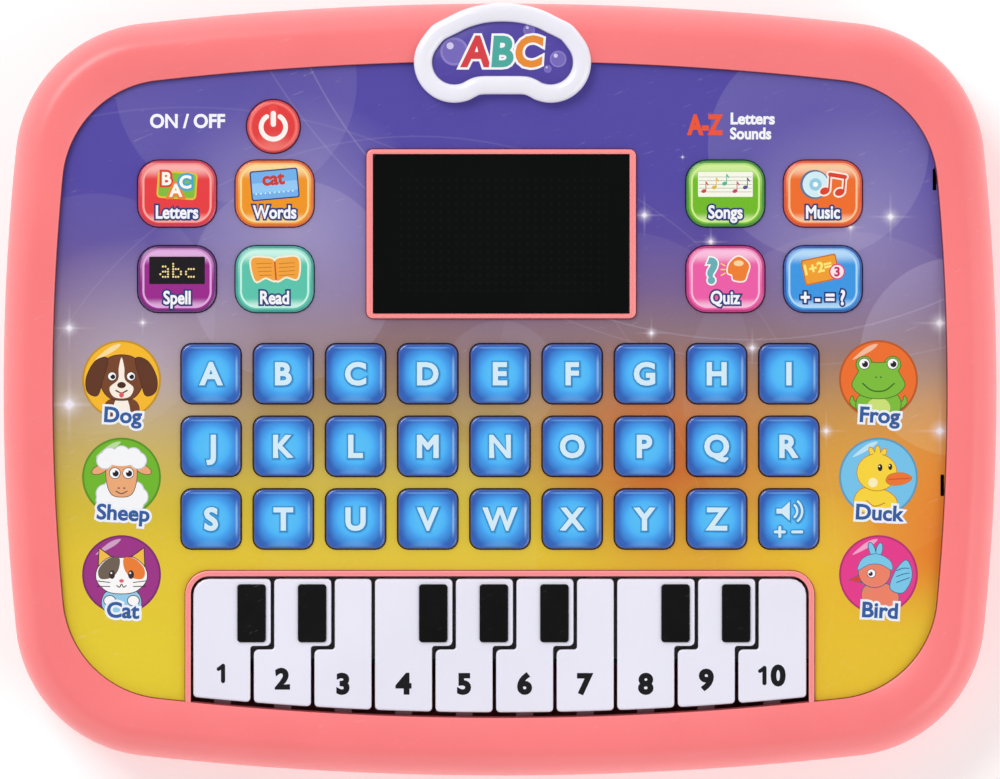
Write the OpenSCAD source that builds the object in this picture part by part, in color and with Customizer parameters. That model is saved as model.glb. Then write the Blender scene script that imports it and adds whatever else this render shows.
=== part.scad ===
// Children's learning tablet. A two-part moulded case holds a printed film face, sprung push keys,
// ten hinged piano keys, a display window, and a battery bay in the back.
// The origin is the middle of the back face. X is the width, Y runs up the face, +Z leaves the face.
// All sizes are in millimetres.

/* [Case] */
// Half of the case's width
case_half_w = 120; // [119:0.5:122]
// Half of the case's height
case_half_h = 93.3; // [93:0.1:95]
// Radius of the long curve of the left and right sides
case_side_r = 556; // [500:10:650]
// Radius of the long curve of the top and bottom sides
case_end_r = 779; // [700:10:850]
// Radius of the case's corners
case_corner_r = 34; // [32:0.5:36]
// Height of the line where the two covers meet
parting_z = 12; // [11.5:0.5:13]
// Height of the frame's crown
crest_z = 27.6; // [27.2:0.1:28.5]
// Wall thickness of the covers
wall_t = 2.2; // [2:0.1:2.6]
// Thickness of the back face
floor_t = 2; // [1.8:0.1:2.2]

/* [Face] */
// Half of the width of the sunken printed face
face_half_w = 107.7; // [107:0.1:108.5]
// Half of the height of the sunken printed face
face_half_h = 79; // [78.5:0.1:79.5]
// Radius of the face's corners
face_corner_r = 25.5; // [24:0.5:27]
// Thickness of the face plate under the film
plate_t = 1.5; // [1.4:0.1:1.6]
// Thickness of the printed film
film_t = 0.3; // [0.2:0.05:0.35]

/* [Push keys] */
// Side of a square letter key
letter_size = 14.4; // [14:0.1:14.8]
// Distance between neighbouring letter keys across the face
letter_pitch_x = 17.4; // [17.2:0.1:17.6]
// Distance between neighbouring rows of letter keys
letter_pitch_y = 17.5; // [17.2:0.1:17.6]
// Width of a mode key
mode_w = 18.9; // [18:0.1:19.2]
// Height of a mode key
mode_h = 16; // [15:0.1:16.2]
// Radius of the power button
power_r = 6.4; // [6:0.1:6.5]
// How far a key stands above the film
key_rise = 0.9; // [0.8:0.05:1]
// How far a key is pushed in
key_travel = 0.8; // [0.6:0.05:0.8]
// Gap round a key in its window
key_gap = 0.25; // [0.2:0.01:0.3]

/* [Piano] */
// Distance between neighbouring piano keys
piano_pitch = 14.59; // [14.5:0.01:14.65]
// Gap between neighbouring piano keys
piano_gap = 0.82; // [0.7:0.01:0.9]
// Width of the step of an L-shaped key
step_w = 4.9; // [4.5:0.1:5]
// Radius of the hinge pins of a piano key
hinge_pin_r = 1; // [0.9:0.01:1]
// Running clearance of a hinge pin in its saddle
hinge_clearance = 0.06; // [0.05:0.01:0.08]

/* [Battery bay] */
// Diameter of an AA cell
cell_d = 14.5; // [14:0.1:14.5]
// Length of an AA cell with its nub
cell_l = 50.5; // [50:0.1:50.5]
// Half of the width of the door's opening
door_half_w = 30; // [30:0.5:31]

/* [Hidden] */
LETTERS = "abcdefghijklmnopqrstuvwxyz";
LETTER_NODES = [for (c = LETTERS) str("letter_key_", c), "volume_key"];
MODE_NODES = [
    "mode_key_letters", "mode_key_words", "mode_key_songs", "mode_key_music",
    "mode_key_spelling", "mode_key_reading", "mode_key_quiz", "mode_key_maths"
];
MODE_COLOURS = ["crimson", "darkorange", "limegreen", "orangered",
                "purple", "mediumturquoise", "hotpink", "royalblue"];
PIANO_NODES = [for (k = [1 : 10]) str("piano_key_", k)];
CASE_NODES = [
    "front_cover", "rear_cover", "face_overlay", "badge_frame", "badge_label", "screen_window",
    "circuit_board", "key_dome_sheet", "speaker", "batteries", "battery_contacts", "case_screws",
    "battery_door", "door_screw"
];

$fn = 48;
arc_steps = 10;
sweep_fn = 360;
eps = 0.05;

// Heights of the stack behind the face
plate_bottom_z = 23.5;
film_z = plate_bottom_z + plate_t;
film_top_z = film_z + film_t;
key_top_z = film_top_z + key_rise;
flange_top_z = plate_bottom_z - 0.2;
flange_bottom_z = flange_top_z - 1;
cell_z = floor_t + 0.4 + cell_d / 2;
bay_roof_z = cell_z + cell_d / 2 + 0.3;
bay_roof_t = 1.2;
board_z = bay_roof_z + bay_roof_t + 0.2;
board_t = 1.6;
sheet_z = board_z + board_t;
sheet_t = 0.5;
dome_top_z = flange_bottom_z - key_travel - 0.15;

// Outlines are [half width, half height, side radius, end radius, corner radius]
CASE = [case_half_w, case_half_h, case_side_r, case_end_r, case_corner_r];
FACE = [face_half_w, face_half_h, 540, 740, face_corner_r];

// Push keys
key_corner_r = 2.5;
mode_corner_r = 5;
flange_reach = 0.7;
key_bevel = 0.6;
key_wall = 1.7;
key_roof = 1.5;
plunger_r = 2.2;
letter_row_y = 3.8;
mode_inner_x = 54.3;
mode_outer_x = 77.8;
mode_top_y = 47.2;
mode_bottom_y = 26.6;
power_at = [-54.6, 63.4];

// Touch zones under the film
touch_x = 91.2;
touch_top_y = 2;
touch_pitch = 23.5;
touch_pad_r = 6.8;
touch_window_r = 7.5;

// Screen
screen_at = [0.3, 37.5];
screen_w = 61.7;
screen_h = 38.3;
screen_lip_w = 65;
screen_lip_h = 40.8;
screen_lip_z = film_top_z + 0.9;
screen_ledge = 2.8;
screen_ledge_z = plate_bottom_z + 0.8;

// Piano
piano_left = -73.9;
piano_right = 73.8;
piano_back_y = -45.6;
piano_lip_w = 1.35;
piano_lip_gap = 0.6;
piano_front_gap = 1.2;
piano_corner_r = 3.8;
piano_top_z = film_top_z + 0.9;
piano_bottom_z = plate_bottom_z + 0.1;
piano_lip_z = piano_top_z + 0.2;
piano_wall = 1.3;
piano_roof = 1.4;
step_y = -61.8;
hinge_y = -41.6;
hinge_z = plate_bottom_z - 1.3;
hinge_saddle_w = 3;
STEPPED_KEYS = [1, 2, 4, 5, 6, 8, 9];
pad_w = 6.9;
pad_l = 14;
pad_inset = 1.16;
pad_rise = 0.45;
tongue_w = 4.1;

// Badge
badge_at = [0.6, 0];
badge_lobe_x = 11.6;
badge_lobe_y = 78.8;
badge_lobe_r = 9.75;
badge_arch_y = 76;
badge_arch_w = 21.4;
badge_arch_h = 17;
badge_bridge_y = 71;
badge_bridge_w = 11;
badge_rim = 4.4;
badge_z = film_top_z + 0.1;
badge_top_z = 28.6;

// Battery bay and door
cell_pitch = cell_d + 0.2;
bay_middle_y = 35.9;
bay_wall = 1.5;
bay_low_y = 13.4;
bay_high_y = 63.2;
door_low_y = 6;
door_high_y = 60;
door_gap = 0.25;
tab_x = 18;
tab_w = 8;
tab_reach = 2.2;
door_screw_y = 9.6;
door_screw_play = 0.35;

// Screws and bosses
SCREWS = [[-40, 81], [40, 81], [-108, 0], [108, 0], [-62, -81.5], [62, -81.5]];
boss_r = 3.6;
boss_top_z = 24.5;
screw_r = 1.4;
screw_hole_r = 1.45;
screw_head_r = 2.7;
screw_seat_z = 7.5;
screw_recess_r = 3.1;

// Circuit board
board_half_w = 99;
board_low_y = -66;
board_high_y = 74;
STANDOFFS = [[-93, 66], [93, 66], [-93, -60], [93, -60]];
display_w = 52;
display_h = 29;

// Speaker
speaker_at = [0, -25];
speaker_r = 20;

// ---------------------------------------------------------------- outlines

// Middle of the corner arc in the first quarter: it is corner_r inside the side arc and the end arc,
// so it lies where a circle about each of those arcs' centres crosses the other.
function corner_centre(o) =
    let (a = o[2] - o[0], b = o[3] - o[1])
    let (p = o[2] - o[4], q = o[3] - o[4])
    let (k = (p * p - q * q - a * a + b * b) / 2)
    let (qa = 1 + a * a / (b * b), qb = 2 * a - 2 * a * k / (b * b))
    let (qc = a * a + k * k / (b * b) - p * p)
    let (x = (-qb + sqrt(qb * qb - 4 * qa * qc)) / (2 * qa))
    [x, (a * x - k) / b];

// The eight arcs of an outline, anticlockwise from the right side: [centre, radius, from, to]
function outline_arcs(o) =
    let (c = corner_centre(o), a = o[2] - o[0], b = o[3] - o[1])
    let (s = atan2(c.y, c.x + a), e = atan2(c.y + b, c.x))
    [
        [[-a, 0], o[2], -s, s],
        [c, o[4], s, e],
        [[0, -b], o[3], e, 180 - e],
        [[-c.x, c.y], o[4], 180 - e, 180 - s],
        [[a, 0], o[2], 180 - s, 180 + s],
        [-c, o[4], 180 + s, 180 + e],
        [[0, b], o[3], 180 + e, 360 - e],
        [[c.x, -c.y], o[4], 360 - e, 360 - s]
    ];

function arc_points(arc, inset) = [
    for (i = [0 : arc_steps - 1])
        let (t = arc[2] + (arc[3] - arc[2]) * i / arc_steps)
        arc[0] + (arc[1] - inset) * [cos(t), sin(t)]
];

// The outline as a flat shape, moved inwards by inset
module outline(o, inset = 0) {
    polygon([for (arc = outline_arcs(o)) each arc_points(arc, inset)]);
}

// Carries a profile of (inset, height) once round the outline, one turned piece for each arc
module outline_sweep(o) {
    for (arc = outline_arcs(o))
        translate([arc[0].x, arc[0].y, 0])
            rotate(arc[2])
                rotate_extrude(angle = arc[3] - arc[2], $fn = sweep_fn)
                    translate([arc[1], 0])
                        mirror([1, 0])
                            children();
}

// A rectangle about the origin with round corners of corner_steps edges each
module rounded_box(w, h, r, corner_steps = 5) {
    polygon([
        for (q = [0 : 3], i = [0 : corner_steps])
            let (t = 90 * (q + i / corner_steps))
            let (sx = q == 0 || q == 3 ? 1 : -1, sy = q < 2 ? 1 : -1)
            [sx * (w / 2 - r) + r * cos(t), sy * (h / 2 - r) + r * sin(t)]
    ]);
}

// A flat shape stood up from one height to another
module slab(from_z, to_z) {
    translate([0, 0, from_z])
        linear_extrude(height = to_z - from_z)
            children();
}

// ---------------------------------------------------------------- places of the keys

function letter_place(i) = [
    (i % 9 - 4) * letter_pitch_x,
    letter_row_y - floor(i / 9) * letter_pitch_y
];

function mode_place(i) = [
    [-mode_outer_x, -mode_inner_x, mode_inner_x, mode_outer_x][i % 4],
    i < 4 ? mode_top_y : mode_bottom_y
];

TOUCH_PLACES = [
    for (side = [-1, 1], i = [0 : 2]) [side * touch_x, touch_top_y - i * touch_pitch]
];

// Windows of all the push keys, grown by the gap. One corner step gives a chamfer, which clears the
// round corner of a key while its share of the corner's radius is at most 0.58.
module push_key_windows(gap, corner_steps = 5, corner_share = 1) {
    letter_r = corner_share * (key_corner_r + gap);
    mode_r = corner_share * (mode_corner_r + gap);
    for (i = [0 : len(LETTER_NODES) - 1])
        translate(letter_place(i))
            rounded_box(letter_size + 2 * gap, letter_size + 2 * gap, letter_r, corner_steps);
    for (i = [0 : len(MODE_NODES) - 1])
        translate(mode_place(i))
            rounded_box(mode_w + 2 * gap, mode_h + 2 * gap, mode_r, corner_steps);
    translate(power_at)
        circle(r = power_r + gap);
}

// A moulded cap: flange under the face plate, bevelled top, hollow underside with a plunger
module push_key(w, h, r, bevel_steps = 5) {
    difference() {
        union() {
            slab(flange_bottom_z, flange_top_z)
                rounded_box(w + 2 * flange_reach, h + 2 * flange_reach, 0.6 * r, 1);
            slab(flange_top_z - eps, key_top_z - key_bevel)
                rounded_box(w, h, r, bevel_steps);
            translate([0, 0, key_top_z - key_bevel])
                linear_extrude(height = key_bevel, scale = 1 - 2 * key_bevel / w)
                    rounded_box(w, h, r, bevel_steps);
        }
        slab(flange_bottom_z - eps, key_top_z - key_roof)
            square([w - 2 * key_wall, h - 2 * key_wall], center = true);
    }
    translate([0, 0, flange_bottom_z])
        cylinder(r = plunger_r, h = key_top_z - key_roof + eps - flange_bottom_z, $fn = 8);
}

module letter_key(i) {
    color("dodgerblue")
        translate(letter_place(i))
            push_key(letter_size, letter_size, key_corner_r);
}

module mode_key(i) {
    color(MODE_COLOURS[i])
        translate(mode_place(i))
            push_key(mode_w, mode_h, mode_corner_r, 6);
}

// The round power button is turned, so that its guide in the window is a true cylinder
module power_button() {
    color("crimson")
        translate(power_at)
            rotate_extrude()
                polygon([
                    [0, flange_bottom_z],
                    [plunger_r, flange_bottom_z],
                    [plunger_r, key_top_z - key_roof],
                    [power_r - key_wall, key_top_z - key_roof],
                    [power_r - key_wall, flange_bottom_z],
                    [power_r + flange_reach, flange_bottom_z],
                    [power_r + flange_reach, flange_top_z],
                    [power_r, flange_top_z],
                    [power_r, key_top_z - key_bevel],
                    [power_r - key_bevel, key_top_z],
                    [0, key_top_z]
                ]);
}

// ---------------------------------------------------------------- piano

function has_step(k) = len(search(k, STEPPED_KEYS)) > 0;
function piano_key_left(k) = piano_left + (k - 1) * piano_pitch;
function piano_key_right(k) = k == 10 ? piano_right : piano_key_left(k) + piano_pitch - piano_gap;
function upper_left(k) = piano_key_left(k) + (has_step(k - 1) ? step_w : 0);
function upper_right(k) = piano_key_right(k) + (has_step(k) ? step_w : 0);
function saddle_x(k) = k == 0 ? piano_left - piano_gap / 2 : upper_right(k) + piano_gap / 2;

// Opening in the face for all the keys, or its lip when it is grown. The front edge follows the face.
module piano_opening(grow, front_inset) {
    intersection() {
        outline(FACE, front_inset);
        translate([(piano_left + piano_right) / 2, piano_back_y + grow - 50])
            rounded_box(piano_right - piano_left + 2 * grow, 100, piano_corner_r + grow);
    }
}

// Plan of one key: a full-width front, a stem beside its neighbour's step, and its own step
module piano_key_plan(k) {
    front_y = -100;
    front_top_y = step_y - piano_gap;
    intersection() {
        piano_opening(0, piano_front_gap);
        union() {
            translate([piano_key_left(k), front_y])
                square([piano_key_right(k) - piano_key_left(k), front_top_y - front_y]);
            translate([upper_left(k), front_top_y - eps])
                square([piano_key_right(k) - upper_left(k), piano_back_y - front_top_y + 1]);
            if (has_step(k))
                translate([piano_key_right(k) - eps, step_y])
                    square([step_w + eps, piano_back_y - step_y + 1]);
        }
    }
}

// Height on Y of the keys' front edge at a place across the face
function piano_front_y(x) = -face_half_h + piano_front_gap + x * x / (2 * FACE[3]);

module piano_key(k) {
    neck_inset = 2.4;
    neck_left = upper_left(k) + neck_inset;
    neck_w = upper_right(k) - neck_inset - neck_left;
    middle_x = (piano_key_left(k) + piano_key_right(k)) / 2;
    front_y = piano_front_y(middle_x);
    roof_z = piano_top_z - piano_roof;
    color("white") {
        difference() {
            slab(piano_bottom_z, piano_top_z)
                piano_key_plan(k);
            slab(piano_bottom_z - eps, roof_z)
                offset(delta = -piano_wall)
                    piano_key_plan(k);
        }
        // neck that runs back under the face plate, with the hinge pins at its end
        translate([neck_left, piano_back_y - 2.6, hinge_z - hinge_pin_r])
            cube([neck_w, 2, roof_z + eps - hinge_z + hinge_pin_r]);
        translate([neck_left, piano_back_y - 2.6, hinge_z - hinge_pin_r])
            cube([neck_w, hinge_y - piano_back_y + 2.6, 2 * hinge_pin_r]);
        translate([saddle_x(k - 1) + 0.3, hinge_y, hinge_z])
            rotate([0, 90, 0])
                cylinder(r = hinge_pin_r, h = saddle_x(k) - saddle_x(k - 1) - 0.6);
        // foot that presses the dome
        translate([middle_x - 1.5, -59.5, flange_bottom_z + 0.3])
            cube([3, 3, roof_z + eps - flange_bottom_z - 0.3]);
        // front tongue, held under the front edge of the cover
        translate([middle_x - tongue_w / 2, front_y + 0.4, flange_bottom_z])
            cube([tongue_w, 1.4, roof_z + eps - flange_bottom_z]);
        translate([middle_x - tongue_w / 2, front_y - 2.2, flange_bottom_z])
            cube([tongue_w, 4, 0.9]);
    }
    if (has_step(k))
        color("black")
            translate([upper_right(k) - pad_inset - pad_w / 2, piano_back_y - 1.3 - pad_l / 2, 0])
                slab(piano_top_z - eps, piano_top_z + pad_rise)
                    rounded_box(pad_w, pad_l, 0.8, 3);
}

// One of the saddles that the hinge pins snap into from below
module hinge_saddle(k) {
    difference() {
        translate([saddle_x(k) - hinge_saddle_w / 2, hinge_y - 1.9, hinge_z - 0.65])
            cube([hinge_saddle_w, 3.8, plate_bottom_z + eps - hinge_z + 0.65]);
        translate([saddle_x(k) - hinge_saddle_w, hinge_y, hinge_z])
            rotate([0, 90, 0])
                cylinder(r = hinge_pin_r + hinge_clearance, h = 2 * hinge_saddle_w);
    }
}

// ---------------------------------------------------------------- front

// Crown of the frame: an elliptic shoulder up to the crest, then a slow fall towards the face.
// The underside follows it one wall lower.
module frame_profile() {
    shoulder_z = 17;
    crest_inset = 6.8;
    inner_crest_z = 24.4;
    foot_inset = 17;
    foot_z = plate_bottom_z + 0.5;
    steps = 8;
    polygon(concat(
        [[wall_t, parting_z], [0, parting_z]],
        [for (i = [0 : steps])
            let (t = 90 * i / steps)
            [crest_inset * (1 - cos(t)), shoulder_z + (crest_z - shoulder_z) * sin(t)]],
        [for (i = [1 : 4])
            let (d = (foot_inset - crest_inset) * i / 4)
            [crest_inset + d, crest_z - 1.9 * pow(d / (foot_inset - crest_inset), 2)]],
        [[foot_inset, foot_z], [crest_inset + 3.6, foot_z]],
        [for (i = [0 : 4])
            let (t = 90 * (1 - i / 4))
            [
                wall_t + (crest_inset - wall_t) * (1 - cos(t)),
                shoulder_z + (inner_crest_z - shoulder_z) * sin(t)
            ]]
    ));
}

// Right edge of the face at a height on Y
function face_edge_x(y) = face_half_w - y * y / (2 * FACE[2]);

// Two narrow windows at the right edge, for the catches that hold the frame
module catch_windows() {
    for (y = [50.6, -23.1])
        translate([face_edge_x(y) - 1.2, y - 2.6])
            square([1, 5.2]);
}

// Solid under the badge, where the crown is cut down to seat it
module badge_seat() {
    slab(plate_bottom_z - 0.5, badge_z)
        intersection() {
            outline(CASE, 3);
            translate([badge_at.x, badge_lobe_y + 6])
                square([46, 24], center = true);
        }
}

module front_cover() {
    color("lightcoral")
        difference() {
            union() {
                difference() {
                    union() {
                        outline_sweep(CASE)
                            frame_profile();
                        badge_seat();
                    }
                    slab(film_z, crest_z + 1)
                        outline(FACE);
                }
                slab(plate_bottom_z, film_z)
                    outline(FACE, -1);
                translate(screen_at)
                    slab(film_z - eps, screen_lip_z)
                        rounded_box(screen_lip_w, screen_lip_h, 1.6);
                slab(film_z - eps, piano_lip_z)
                    piano_opening(piano_lip_gap + piano_lip_w, -0.3);
                for (p = SCREWS)
                    translate([p.x, p.y, parting_z])
                        cylinder(r = boss_r, h = boss_top_z - parting_z);
                for (p = STANDOFFS) {
                    translate([p.x, p.y, sheet_z])
                        cylinder(r = 2, h = plate_bottom_z + eps - sheet_z);
                    translate([p.x, p.y, board_z - 0.5])
                        cylinder(r = 1.2, h = 1 + board_t);
                }
            }
            slab(badge_z, badge_top_z + 1)
                badge_plan(0.1);
            slab(plate_bottom_z - 1, film_z + 1)
                push_key_windows(key_gap, 1, 0.55);
            for (p = TOUCH_PLACES)
                translate([p.x, p.y, plate_bottom_z - 1])
                    cylinder(r = touch_window_r, h = plate_t + 2);
            translate(screen_at) {
                slab(screen_ledge_z, screen_lip_z + 1)
                    rounded_box(screen_w + 0.2, screen_h + 0.2, 0.6);
                slab(plate_bottom_z - 1, screen_lip_z)
                    square([screen_w - 2 * screen_ledge, screen_h - 2 * screen_ledge], center = true);
            }
            slab(plate_bottom_z - 1, piano_lip_z + 2)
                piano_opening(piano_lip_gap, 0.2);
            slab(plate_bottom_z - 1, film_top_z + 0.6)
                catch_windows();
            for (p = SCREWS)
                translate([p.x, p.y, parting_z - 1])
                    cylinder(r = screw_hole_r, h = 11);
        }
    color("lightcoral")
        for (k = [0 : 10])
            hinge_saddle(k);
}

// The printed film that covers the face plate
module face_overlay() {
    color("mediumpurple")
        slab(film_z, film_top_z)
            difference() {
                outline(FACE, 0.1);
                push_key_windows(key_gap);
                translate(screen_at)
                    rounded_box(screen_lip_w + 0.3, screen_lip_h + 0.3, 1.7);
                piano_opening(piano_lip_gap + piano_lip_w + 0.15, -1);
                catch_windows();
            }
}

// Bean-shaped badge: two round lobes under an elliptic arch, with a flat bridge between the lobes
module badge_plan(grow = 0) {
    offset(delta = grow)
        offset(r = 1.2, $fn = 24)
            offset(delta = -1.2)
                translate(badge_at)
                    difference() {
                        hull() {
                            for (side = [-1, 1])
                                translate([side * badge_lobe_x, badge_lobe_y])
                                    circle(r = badge_lobe_r);
                            polygon([
                                for (t = [10 : 10 : 170])
                                    [badge_arch_w * cos(t), badge_arch_y + badge_arch_h * sin(t)]
                            ]);
                        }
                        translate([-badge_bridge_w / 2, badge_bridge_y - 10])
                            square([badge_bridge_w, 10]);
                    }
}

module badge_frame() {
    base_t = 0.9;
    color("white")
        difference() {
            slab(badge_z, badge_top_z)
                badge_plan();
            slab(badge_z + base_t, badge_top_z + 1)
                badge_plan(-badge_rim);
        }
}

module badge_label() {
    color("slateblue")
        slab(badge_z + 0.9, badge_z + 1.5)
            badge_plan(-badge_rim - 0.1);
}

module screen_window() {
    color("black")
        translate(screen_at)
            slab(screen_ledge_z, film_top_z + 0.4)
                rounded_box(screen_w, screen_h, 0.5);
}

// ---------------------------------------------------------------- electronics

module circuit_board() {
    color("seagreen")
        difference() {
            translate([-board_half_w, board_low_y, board_z])
                cube([2 * board_half_w, board_high_y - board_low_y, board_t]);
            for (p = STANDOFFS)
                translate([p.x, p.y, board_z - 1])
                    cylinder(r = 1.3, h = board_t + 2);
        }
    // display module on the front, chip and connectors on the back
    color("black") {
        translate([screen_at.x - display_w / 2, screen_at.y - display_h / 2, sheet_z])
            cube([display_w, display_h, plate_bottom_z - 0.3 - sheet_z]);
        translate([52, -26, board_z - 1.4])
            cube([14, 14, 1.4]);
    }
    color("ivory")
        for (x = [-52, -44])
            translate([x, 2, board_z - 5])
                cube([6, 8, 5]);
}

// Silicone sheet with a dome under each key. Each dome has the height it has when pressed flat.
module key_dome_sheet() {
    dome_h = dome_top_z - sheet_z - sheet_t;
    dome_places = concat(
        [for (i = [0 : len(LETTER_NODES) - 1]) letter_place(i)],
        [for (i = [0 : len(MODE_NODES) - 1]) mode_place(i)],
        [power_at],
        [for (k = [1 : 10]) [(piano_key_left(k) + piano_key_right(k)) / 2, -58]]
    );
    color("gainsboro") {
        difference() {
            translate([-board_half_w + 1, board_low_y + 1, sheet_z])
                cube([2 * board_half_w - 2, board_high_y - board_low_y - 2, sheet_t]);
            translate([screen_at.x, screen_at.y, sheet_z])
                cube([display_w + 2, display_h + 2, 3], center = true);
            for (p = STANDOFFS)
                translate([p.x, p.y, sheet_z - 1])
                    cylinder(r = 2.6, h = 3);
        }
        for (p = dome_places)
            translate([p.x, p.y, sheet_z + sheet_t - eps])
                cylinder(r1 = 4, r2 = 2.6, h = dome_h + eps);
        for (p = TOUCH_PLACES)
            translate([p.x, p.y, sheet_z + sheet_t - eps])
                cylinder(r = touch_pad_r, h = film_z - 0.2 - sheet_z - sheet_t + eps);
    }
}

module speaker() {
    color("dimgray")
        translate([speaker_at.x, speaker_at.y, floor_t + 0.3])
            rotate_extrude()
                polygon([
                    [0, 1.6], [7, 1.6], [17, 0.4], [17, 0], [speaker_r, 0], [speaker_r, 1.4],
                    [17, 1.6], [11, 4.5], [11, 9.5], [0, 9.5]
                ]);
}

// ---------------------------------------------------------------- back

// Lower wall: straight at the parting line, then rounded under to the flat back
module rear_profile() {
    under_r = 8;
    steps = 6;
    polygon(concat(
        [[0, parting_z]],
        [for (i = [0 : steps])
            let (t = 90 * i / steps)
            [under_r * (1 - cos(t)), under_r * (1 - sin(t))]],
        [[under_r + 3, 0], [under_r + 3, floor_t]],
        [for (i = [0 : steps])
            let (t = 90 * (1 - i / steps))
            [
                wall_t + (under_r - wall_t + 0.6) * (1 - cos(t)),
                floor_t + (under_r - floor_t) * (1 - sin(t))
            ]],
        [[wall_t, parting_z]]
    ));
}

module speaker_holes() {
    for (ring = [0 : 3], i = [0 : max(0, 6 * ring - 1)])
        rotate(60 / max(1, ring) * i)
            translate([4.2 * ring, 0, -1])
                cylinder(r = 1.2, h = floor_t + 2, $fn = 24);
}

module rear_cover() {
    bay_out_w = 2 * (door_half_w + bay_wall);
    color("lightcoral")
        difference() {
            union() {
                outline_sweep(CASE)
                    rear_profile();
                slab(0, floor_t)
                    outline(CASE, 10);
                // battery bay, closed above, and the boss for the door's screw
                translate([-bay_out_w / 2, bay_low_y - bay_wall, 0])
                    cube([bay_out_w, bay_high_y - bay_low_y + 2 * bay_wall, bay_roof_z + bay_roof_t]);
                translate([-4, door_low_y + 1, floor_t + 0.4])
                    cube([8, bay_low_y - door_low_y - 1.5, 9]);
                for (p = SCREWS)
                    translate([p.x, p.y, floor_t - 0.2])
                        cylinder(r = boss_r + 1, h = parting_z - floor_t + 0.2);
                translate([speaker_at.x, speaker_at.y, 0])
                    difference() {
                        cylinder(r = speaker_r + 1.8, h = 6);
                        translate([0, 0, -1])
                            cylinder(r = speaker_r + 0.3, h = 8);
                    }
            }
            translate([-door_half_w, bay_low_y, floor_t])
                cube([2 * door_half_w, bay_high_y - bay_low_y, bay_roof_z - floor_t]);
            translate([-door_half_w, door_low_y, -1])
                cube([2 * door_half_w, door_high_y - door_low_y, floor_t + 1 + eps]);
            translate([-door_half_w, door_low_y, floor_t - eps])
                cube([2 * door_half_w, bay_low_y - bay_wall - door_low_y, 0.45]);
            translate([0, door_screw_y, -1])
                cylinder(r = screw_r + door_screw_play, h = 11);
            for (p = SCREWS) {
                translate([p.x, p.y, -1])
                    cylinder(r = screw_recess_r, h = screw_seat_z + 1);
                translate([p.x, p.y, 0])
                    cylinder(r = screw_hole_r + 0.15, h = parting_z + 1);
            }
            translate([speaker_at.x, speaker_at.y, 0])
                speaker_holes();
        }
}

// A screw with its head down: pan head, then the shank up to the tip
module screw(head_r, head_h, shank_r, length) {
    translate([0, 0, -head_h])
        difference() {
            cylinder(r = head_r, h = head_h);
            for (turn = [0, 90])
                rotate(turn)
                    cube([2.6, 0.6, 1.6], center = true);
        }
    translate([0, 0, -eps])
        cylinder(r = shank_r, h = length);
}

module case_screws() {
    color("silver")
        for (p = SCREWS)
            translate([p.x, p.y, screw_seat_z])
                screw(screw_head_r, 1.8, screw_r, 13);
}

// The door lies flush in the back. Two tabs hook over the floor at the upper edge.
module battery_door() {
    color("lightcoral")
        difference() {
            union() {
                translate([-door_half_w + door_gap, door_low_y + door_gap, 0])
                    cube([2 * (door_half_w - door_gap), door_high_y - door_low_y - 2 * door_gap, floor_t]);
                for (side = [-1, 1])
                    translate([side * tab_x - tab_w / 2, door_high_y - 1.9, floor_t - eps]) {
                        cube([tab_w, 1.6, 1.5]);
                        translate([0, 0, 0.35])
                            cube([tab_w, 1.9 + tab_reach, 1.15]);
                    }
            }
            translate([0, door_screw_y, -1])
                cylinder(r = screw_r + 0.1, h = floor_t + 2);
            translate([0, door_screw_y, -1])
                cylinder(r = screw_head_r + 0.2, h = 2.3);
            // finger grooves
            for (i = [0 : 4])
                translate([-9, 48 + 2.2 * i - 4, -0.1])
                    cube([18, 1, 0.6]);
        }
}

module door_screw() {
    color("silver")
        translate([0, door_screw_y, 1.3])
            screw(screw_head_r, 1.2, screw_r, 3.4);
}

module batteries() {
    nub_h = 1;
    for (i = [-1 : 1])
        translate([0, bay_middle_y + i * cell_pitch, cell_z])
            rotate([0, i == 0 ? -90 : 90, 0]) {
                color("steelblue")
                    translate([0, 0, -cell_l / 2])
                        cylinder(r = cell_d / 2, h = cell_l - nub_h);
                color("silver")
                    translate([0, 0, cell_l / 2 - nub_h - eps])
                        cylinder(r = 2.75, h = nub_h + eps);
            }
}

// A plate at each end of each cell, with a spring where the flat end of the cell bears
module battery_contacts() {
    plate_x = door_half_w - 0.5;
    spring_l = plate_x - cell_l / 2 - 0.1;
    color("silver")
        for (i = [-1 : 1], side = [-1, 1])
            translate([0, bay_middle_y + i * cell_pitch, cell_z]) {
                translate([side * plate_x - 0.2, -5.5, -5.5])
                    cube([0.4, 11, 11]);
                flat_end = (i == 0 ? 1 : -1) == side;
                rotate([0, side * 90, 0])
                    translate([0, 0, cell_l / 2 + 0.1])
                        difference() {
                            cylinder(r = flat_end ? 3.6 : 2, h = spring_l);
                            translate([0, 0, -1])
                                cylinder(r = flat_end ? 3 : 1.2, h = spring_l + 0.8);
                        }
            }
}

front_cover();
rear_cover();
face_overlay();
badge_frame();
badge_label();
screen_window();
circuit_board();
key_dome_sheet();
speaker();
batteries();
battery_contacts();
case_screws();
battery_door();
door_screw();
power_button();
for (i = [0 : len(MODE_NODES) - 1])
    mode_key(i);
for (i = [0 : len(LETTER_NODES) - 1])
    letter_key(i);
for (k = [1 : 10])
    piano_key(k);
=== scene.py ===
import math

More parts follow.
